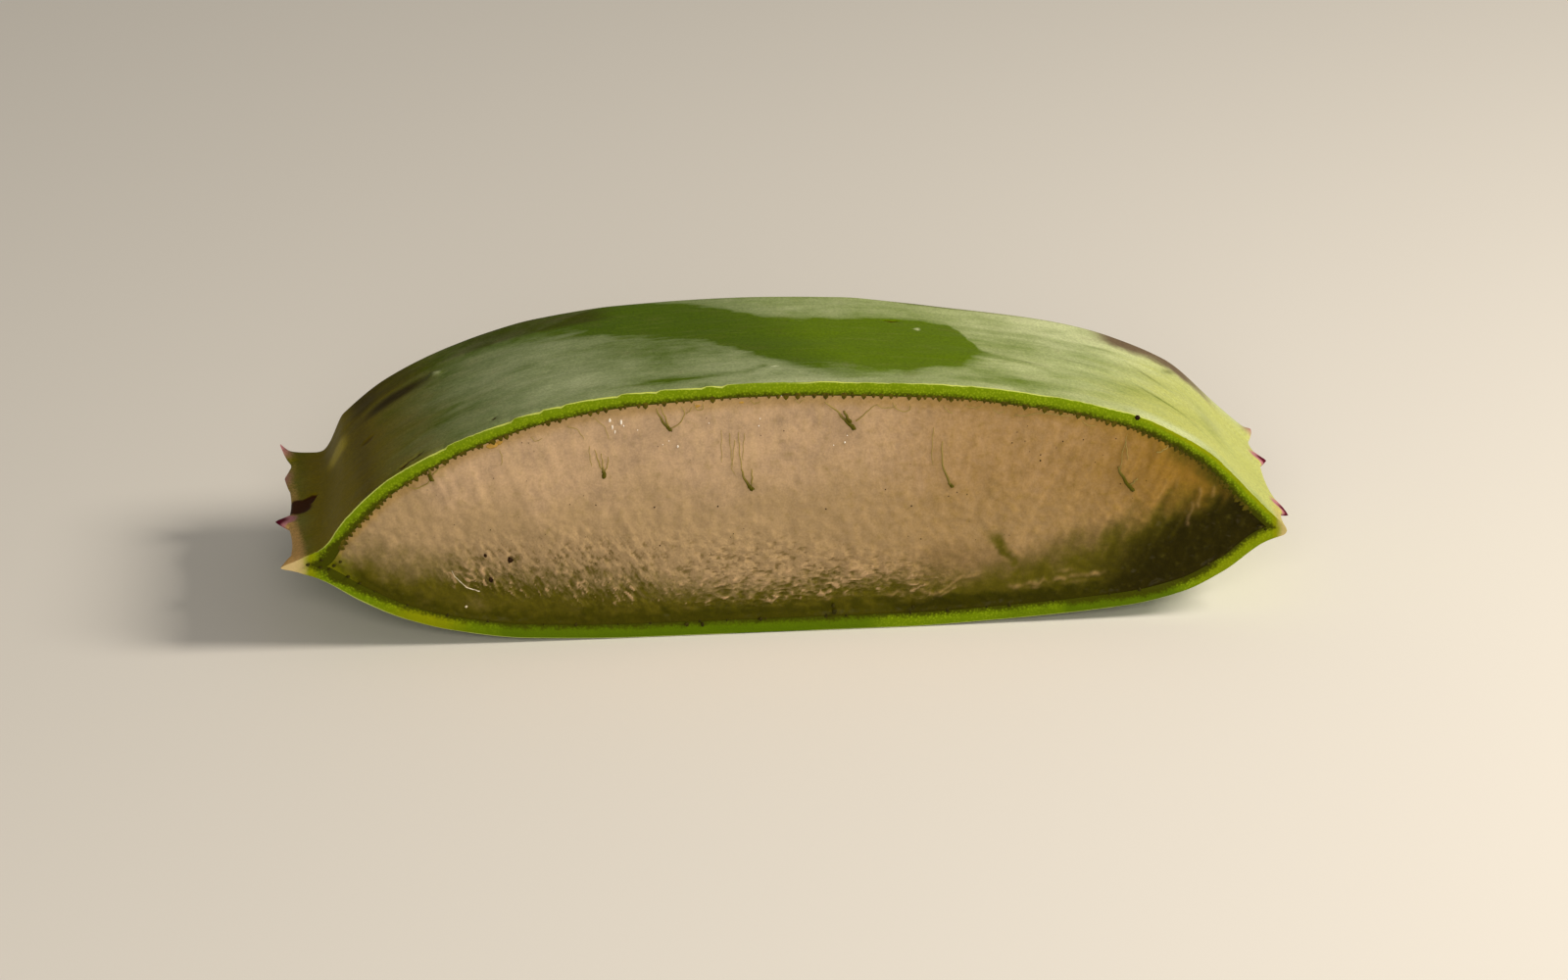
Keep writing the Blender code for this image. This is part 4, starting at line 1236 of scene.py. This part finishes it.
crumbs = {
    "specks": 70,
    "speckArea": ((-34.0, 33.0), (4.5, 19.5)),   # across, height
    "speckSize": (0.02, 0.05),
    # specks that show one by one: across, height, radius
    "bigSpecks": (
        (-22.7, 7.1, 0.26), (-24.7, 7.6, 0.15), (-24.3, 5.5, 0.22), (-11.1, 11.2, 0.07), (-10.7, 7.9, 0.07),
        (-15.8, 11.6, 0.06), (-6.0, 11.1, 0.07), (-0.7, 17.4, 0.05), (2.7, 10.5, 0.07), (7.5, 12.0, 0.06),
        (9.6, 10.5, 0.07), (20.0, 14.0, 0.07), (20.0, 14.5, 0.06), (21.8, 15.6, 0.06), (17.7, 15.6, 0.06),
        (10.4, 7.6, 0.05), (27.8, 17.4, 0.22), (13.3, 11.5, 0.05), (14.1, 11.3, 0.05), (12.6, 11.2, 0.05),
    ),
    # dark dabs along the lower rind and at both tips: across, height, radii
    "dabs": (
        (-8.6, 1.0, 0.2, 0.2), (-7.3, 0.95, 0.16, 0.2), (-2.6, 1.2, 0.2, 0.2), (3.3, 2.1, 0.16, 0.2),
        (3.4, 1.6, 0.2, 0.24), (9.8, 1.7, 0.16, 0.2), (38.0, 7.5, 0.26, 0.12), (38.5, 7.3, 0.14, 0.1),
        (-38.9, 7.5, 0.18, 0.13), (-37.8, 7.8, 0.16, 0.12), (-37.9, 7.2, 0.16, 0.1), (-36.8, 7.3, 0.18, 0.14),
        (-36.3, 7.6, 0.14, 0.12), (-37.2, 7.0, 0.14, 0.1), (-35.7, 6.3, 0.16, 0.12), (-34.8, 5.7, 0.14, 0.1),
    ),
    # drops of yellow sap beside the bead row: across, height, radii
    "sap": (
        (-24.05, 17.12, 0.5, 0.34), (-23.45, 17.35, 0.3, 0.24), (-7.6, 19.8, 0.25, 0.12),
        (-4.1, 19.95, 0.2, 0.1),
    ),
    # white domes that stand in for glints, painted highlights on the wet gel: across, height, radii
    "paintedGlints": (
        (-14.6, 18.8, 0.1, 0.16), (-14.4, 18.2, 0.07, 0.2), (-14.2, 17.8, 0.06, 0.16),
        (-13.7, 18.6, 0.08, 0.22), (-13.5, 18.3, 0.05, 0.08), (-12.4, 17.9, 0.05, 0.05),
        (-9.2, 16.4, 0.08, 0.11), (-9.9, 16.9, 0.04, 0.05), (-2.7, 17.9, 0.05, 0.06),
        (-2.6, 18.5, 0.05, 0.08), (-6.7, 18.3, 0.05, 0.06), (4.2, 16.2, 0.07, 0.09), (3.3, 16.0, 0.04, 0.06),
        (4.4, 16.8, 0.05, 0.05), (-0.9, 20.4, 0.04, 0.04), (-10.4, 16.6, 0.04, 0.04),
    ),
}


def makeCrumbs(speck, dab, sap, paintedGlints):
    # seeded specks in clouds, the single ones, dabs, spots of sap, and white domes painted as glints
    random = np.random.default_rng(12)
    many = 5 * crumbs["specks"]
    x, z = (random.uniform(*span, many) for span in crumbs["speckArea"])
    inside = z < np.interp(x, gelLine["x"], gelLine["upper"]) - 0.6
    keep = inside & (random.uniform(0.0, 1.0, many) < 0.2 + 0.6 * latticeNoise(x * 0.25, z * 0.25, 77))
    x, z = x[keep][:crumbs["specks"]], z[keep][:crumbs["specks"]]
    size = random.uniform(*crumbs["speckSize"], len(x))
    bigX, bigZ, bigSize = np.array(crumbs["bigSpecks"]).T
    x, z, size = np.concatenate([x, bigX]), np.concatenate([z, bigZ]), np.concatenate([size, bigSize])
    places = gelFront(x, z) - np.array([0.0, 1.0, 0.0]) * 0.3 * size[:, None]
    points, faces = domes(places, np.stack([size, size * 1.15], axis=1), 0.7 * size, 13, 6)
    makePiece("darkSpecks", points, faces, [speck])
    x, z, *radii = np.array(crumbs["dabs"]).T
    places = placeInLeaf(x - leaf["centring"][0], z, 0.0) - np.array([0.0, 0.07, 0.0])
    points, faces = domes(places, np.stack(radii, axis=1), np.full(len(x), 0.12), 16, 8)
    makePiece("darkDabs", points, faces, [dab])
    for name, tall, material, slot in (("sap", 0.15, sap, "latex"), ("paintedGlints", 0.8, paintedGlints, "gel")):
        x, z, *radii = np.array(crumbs[name]).T
        radii = np.stack(radii, axis=1)
        points, faces = domes(gelFront(x, z), radii, tall * radii.min(axis=1), 14, 10)
        makePiece(name + "Spots", points, faces, [material])


hair = {
    "line": ((-27.4, 6.4), (-27.2, 5.9), (-26.9, 5.6), (-26.5, 5.2), (-26.0, 4.8), (-25.2, 4.5)),
    "thickness": (0.02, 0.045),
    "fleck": (-26.3, 3.2, 0.12),
}


def makeHair(material):
    # one white fibre along a smooth line, and a white fleck below it
    flat = resample(hair["line"], 28)[None]
    radii = np.linspace(*hair["thickness"], flat.shape[1])[None]
    points, faces, _ = layTubes(flat, radii, 8)
    x, z, size = hair["fleck"]
    spot, spotFaces = domes(gelFront(np.array([x]), np.array([z])), np.array([[size, size]]),
                            np.array([0.5 * size]), 15)
    faces = faces + [group + len(points) for group in spotFaces]
    makePiece("whiteHair", np.concatenate([points, spot]), faces, [material])


# Camera, light and floor

view = {
    "eye": (-53.16, -528.56, 222.09),
    "elevation": 22.0,
    "azimuth": -5.8,
    "lens": 160.6,
    "sensor": 36.0,
}


def makeCamera():
    data = bpy.data.cameras.new("camera")
    data.lens, data.sensor_width = view["lens"], view["sensor"]
    data.clip_start, data.clip_end = 0.02, 10.0
    camera = bpy.context.scene.camera = addObject("camera", data)
    elevation, azimuth = math.radians(view["elevation"]), math.radians(view["azimuth"])
    back = Vector((math.sin(azimuth) * math.cos(elevation), -math.cos(azimuth) * math.cos(elevation),
                   math.sin(elevation)))
    right = Vector((math.cos(azimuth), math.sin(azimuth), 0.0))
    up = back.cross(right)
    turn = Matrix((right, up, back)).transposed().to_4x4()
    camera.matrix_world = Matrix.Translation(Vector(view["eye"]) * mm) @ turn


# Lights: place, aim (mm), size (mm), power (W), colour
lights = {
    "key": ((310.0, -70.0, 250.0), (5.0, 0.0, 8.0), 130.0, 1.55, "ffefd6"),
    "fill": ((-60.0, -430.0, 190.0), (0.0, 0.0, 8.0), 200.0, 0.92, "ffefd8"),
}
# Floor and surroundings: half size in metres, height in millimetres
stage = {
    "floor": "e4e6ea",
    "roughness": 0.8,
    "halfSize": 3.0,
    "height": -0.05,
    "world": "f3ead8",
    "worldStrength": 0.22,
}


def makeStudio():
    for name, (place, aim, size, power, colour) in lights.items():
        data = bpy.data.lights.new(name, "AREA")
        data.shape, data.size, data.energy, data.color = "DISK", size * mm, power, linear(colour)[:3]
        turn = (Vector(aim) - Vector(place)).to_track_quat("-Z", "Y").to_matrix().to_4x4()
        addObject(name, data).matrix_world = Matrix.Translation(Vector(place) * mm) @ turn
    half, height = stage["halfSize"], stage["height"] * mm
    mesh = bpy.data.meshes.new("floor")
    corners = [(x * half, y * half, height) for x, y in ((-1, -1), (1, -1), (1, 1), (-1, 1))]
    mesh.from_pydata(corners, [], [(0, 1, 2, 3)])
    floor = addObject("floor", mesh)
    material, tree, shader, _ = startMaterial("paintedBoard")
    setInputs(tree, shader, {"Base Color": stage["floor"], "Roughness": stage["roughness"]})
    mesh.materials.append(material)
    world = bpy.context.scene.world = bpy.data.worlds.new("studio")
    world.use_nodes = True
    setInputs(world.node_tree, world.node_tree.nodes["Background"],
              {"Color": stage["world"], "Strength": stage["worldStrength"]})
    bpy.context.scene.view_settings.view_transform = "Standard"


makeCamera()
makeStudio()
print("camera and light are set")
makeRind(makeSkinMaterial(), makeFleshMaterial())
makeGel(makeGelMaterial())
dampDab = makeSmallMaterial("dampDab")
makeBundles([makeSmallMaterial("beadFibre"), dampDab])
makeStrands(makeSmallMaterial("dampPlantFibre"))
makeCrumbs(makeSmallMaterial("darkSpeck"), dampDab, makeSmallMaterial("driedYellowSap"),
           makeSmallMaterial("paintedGlintWhite"))
makeHair(makeSmallMaterial("whiteFibre"))
print("all pieces are made")
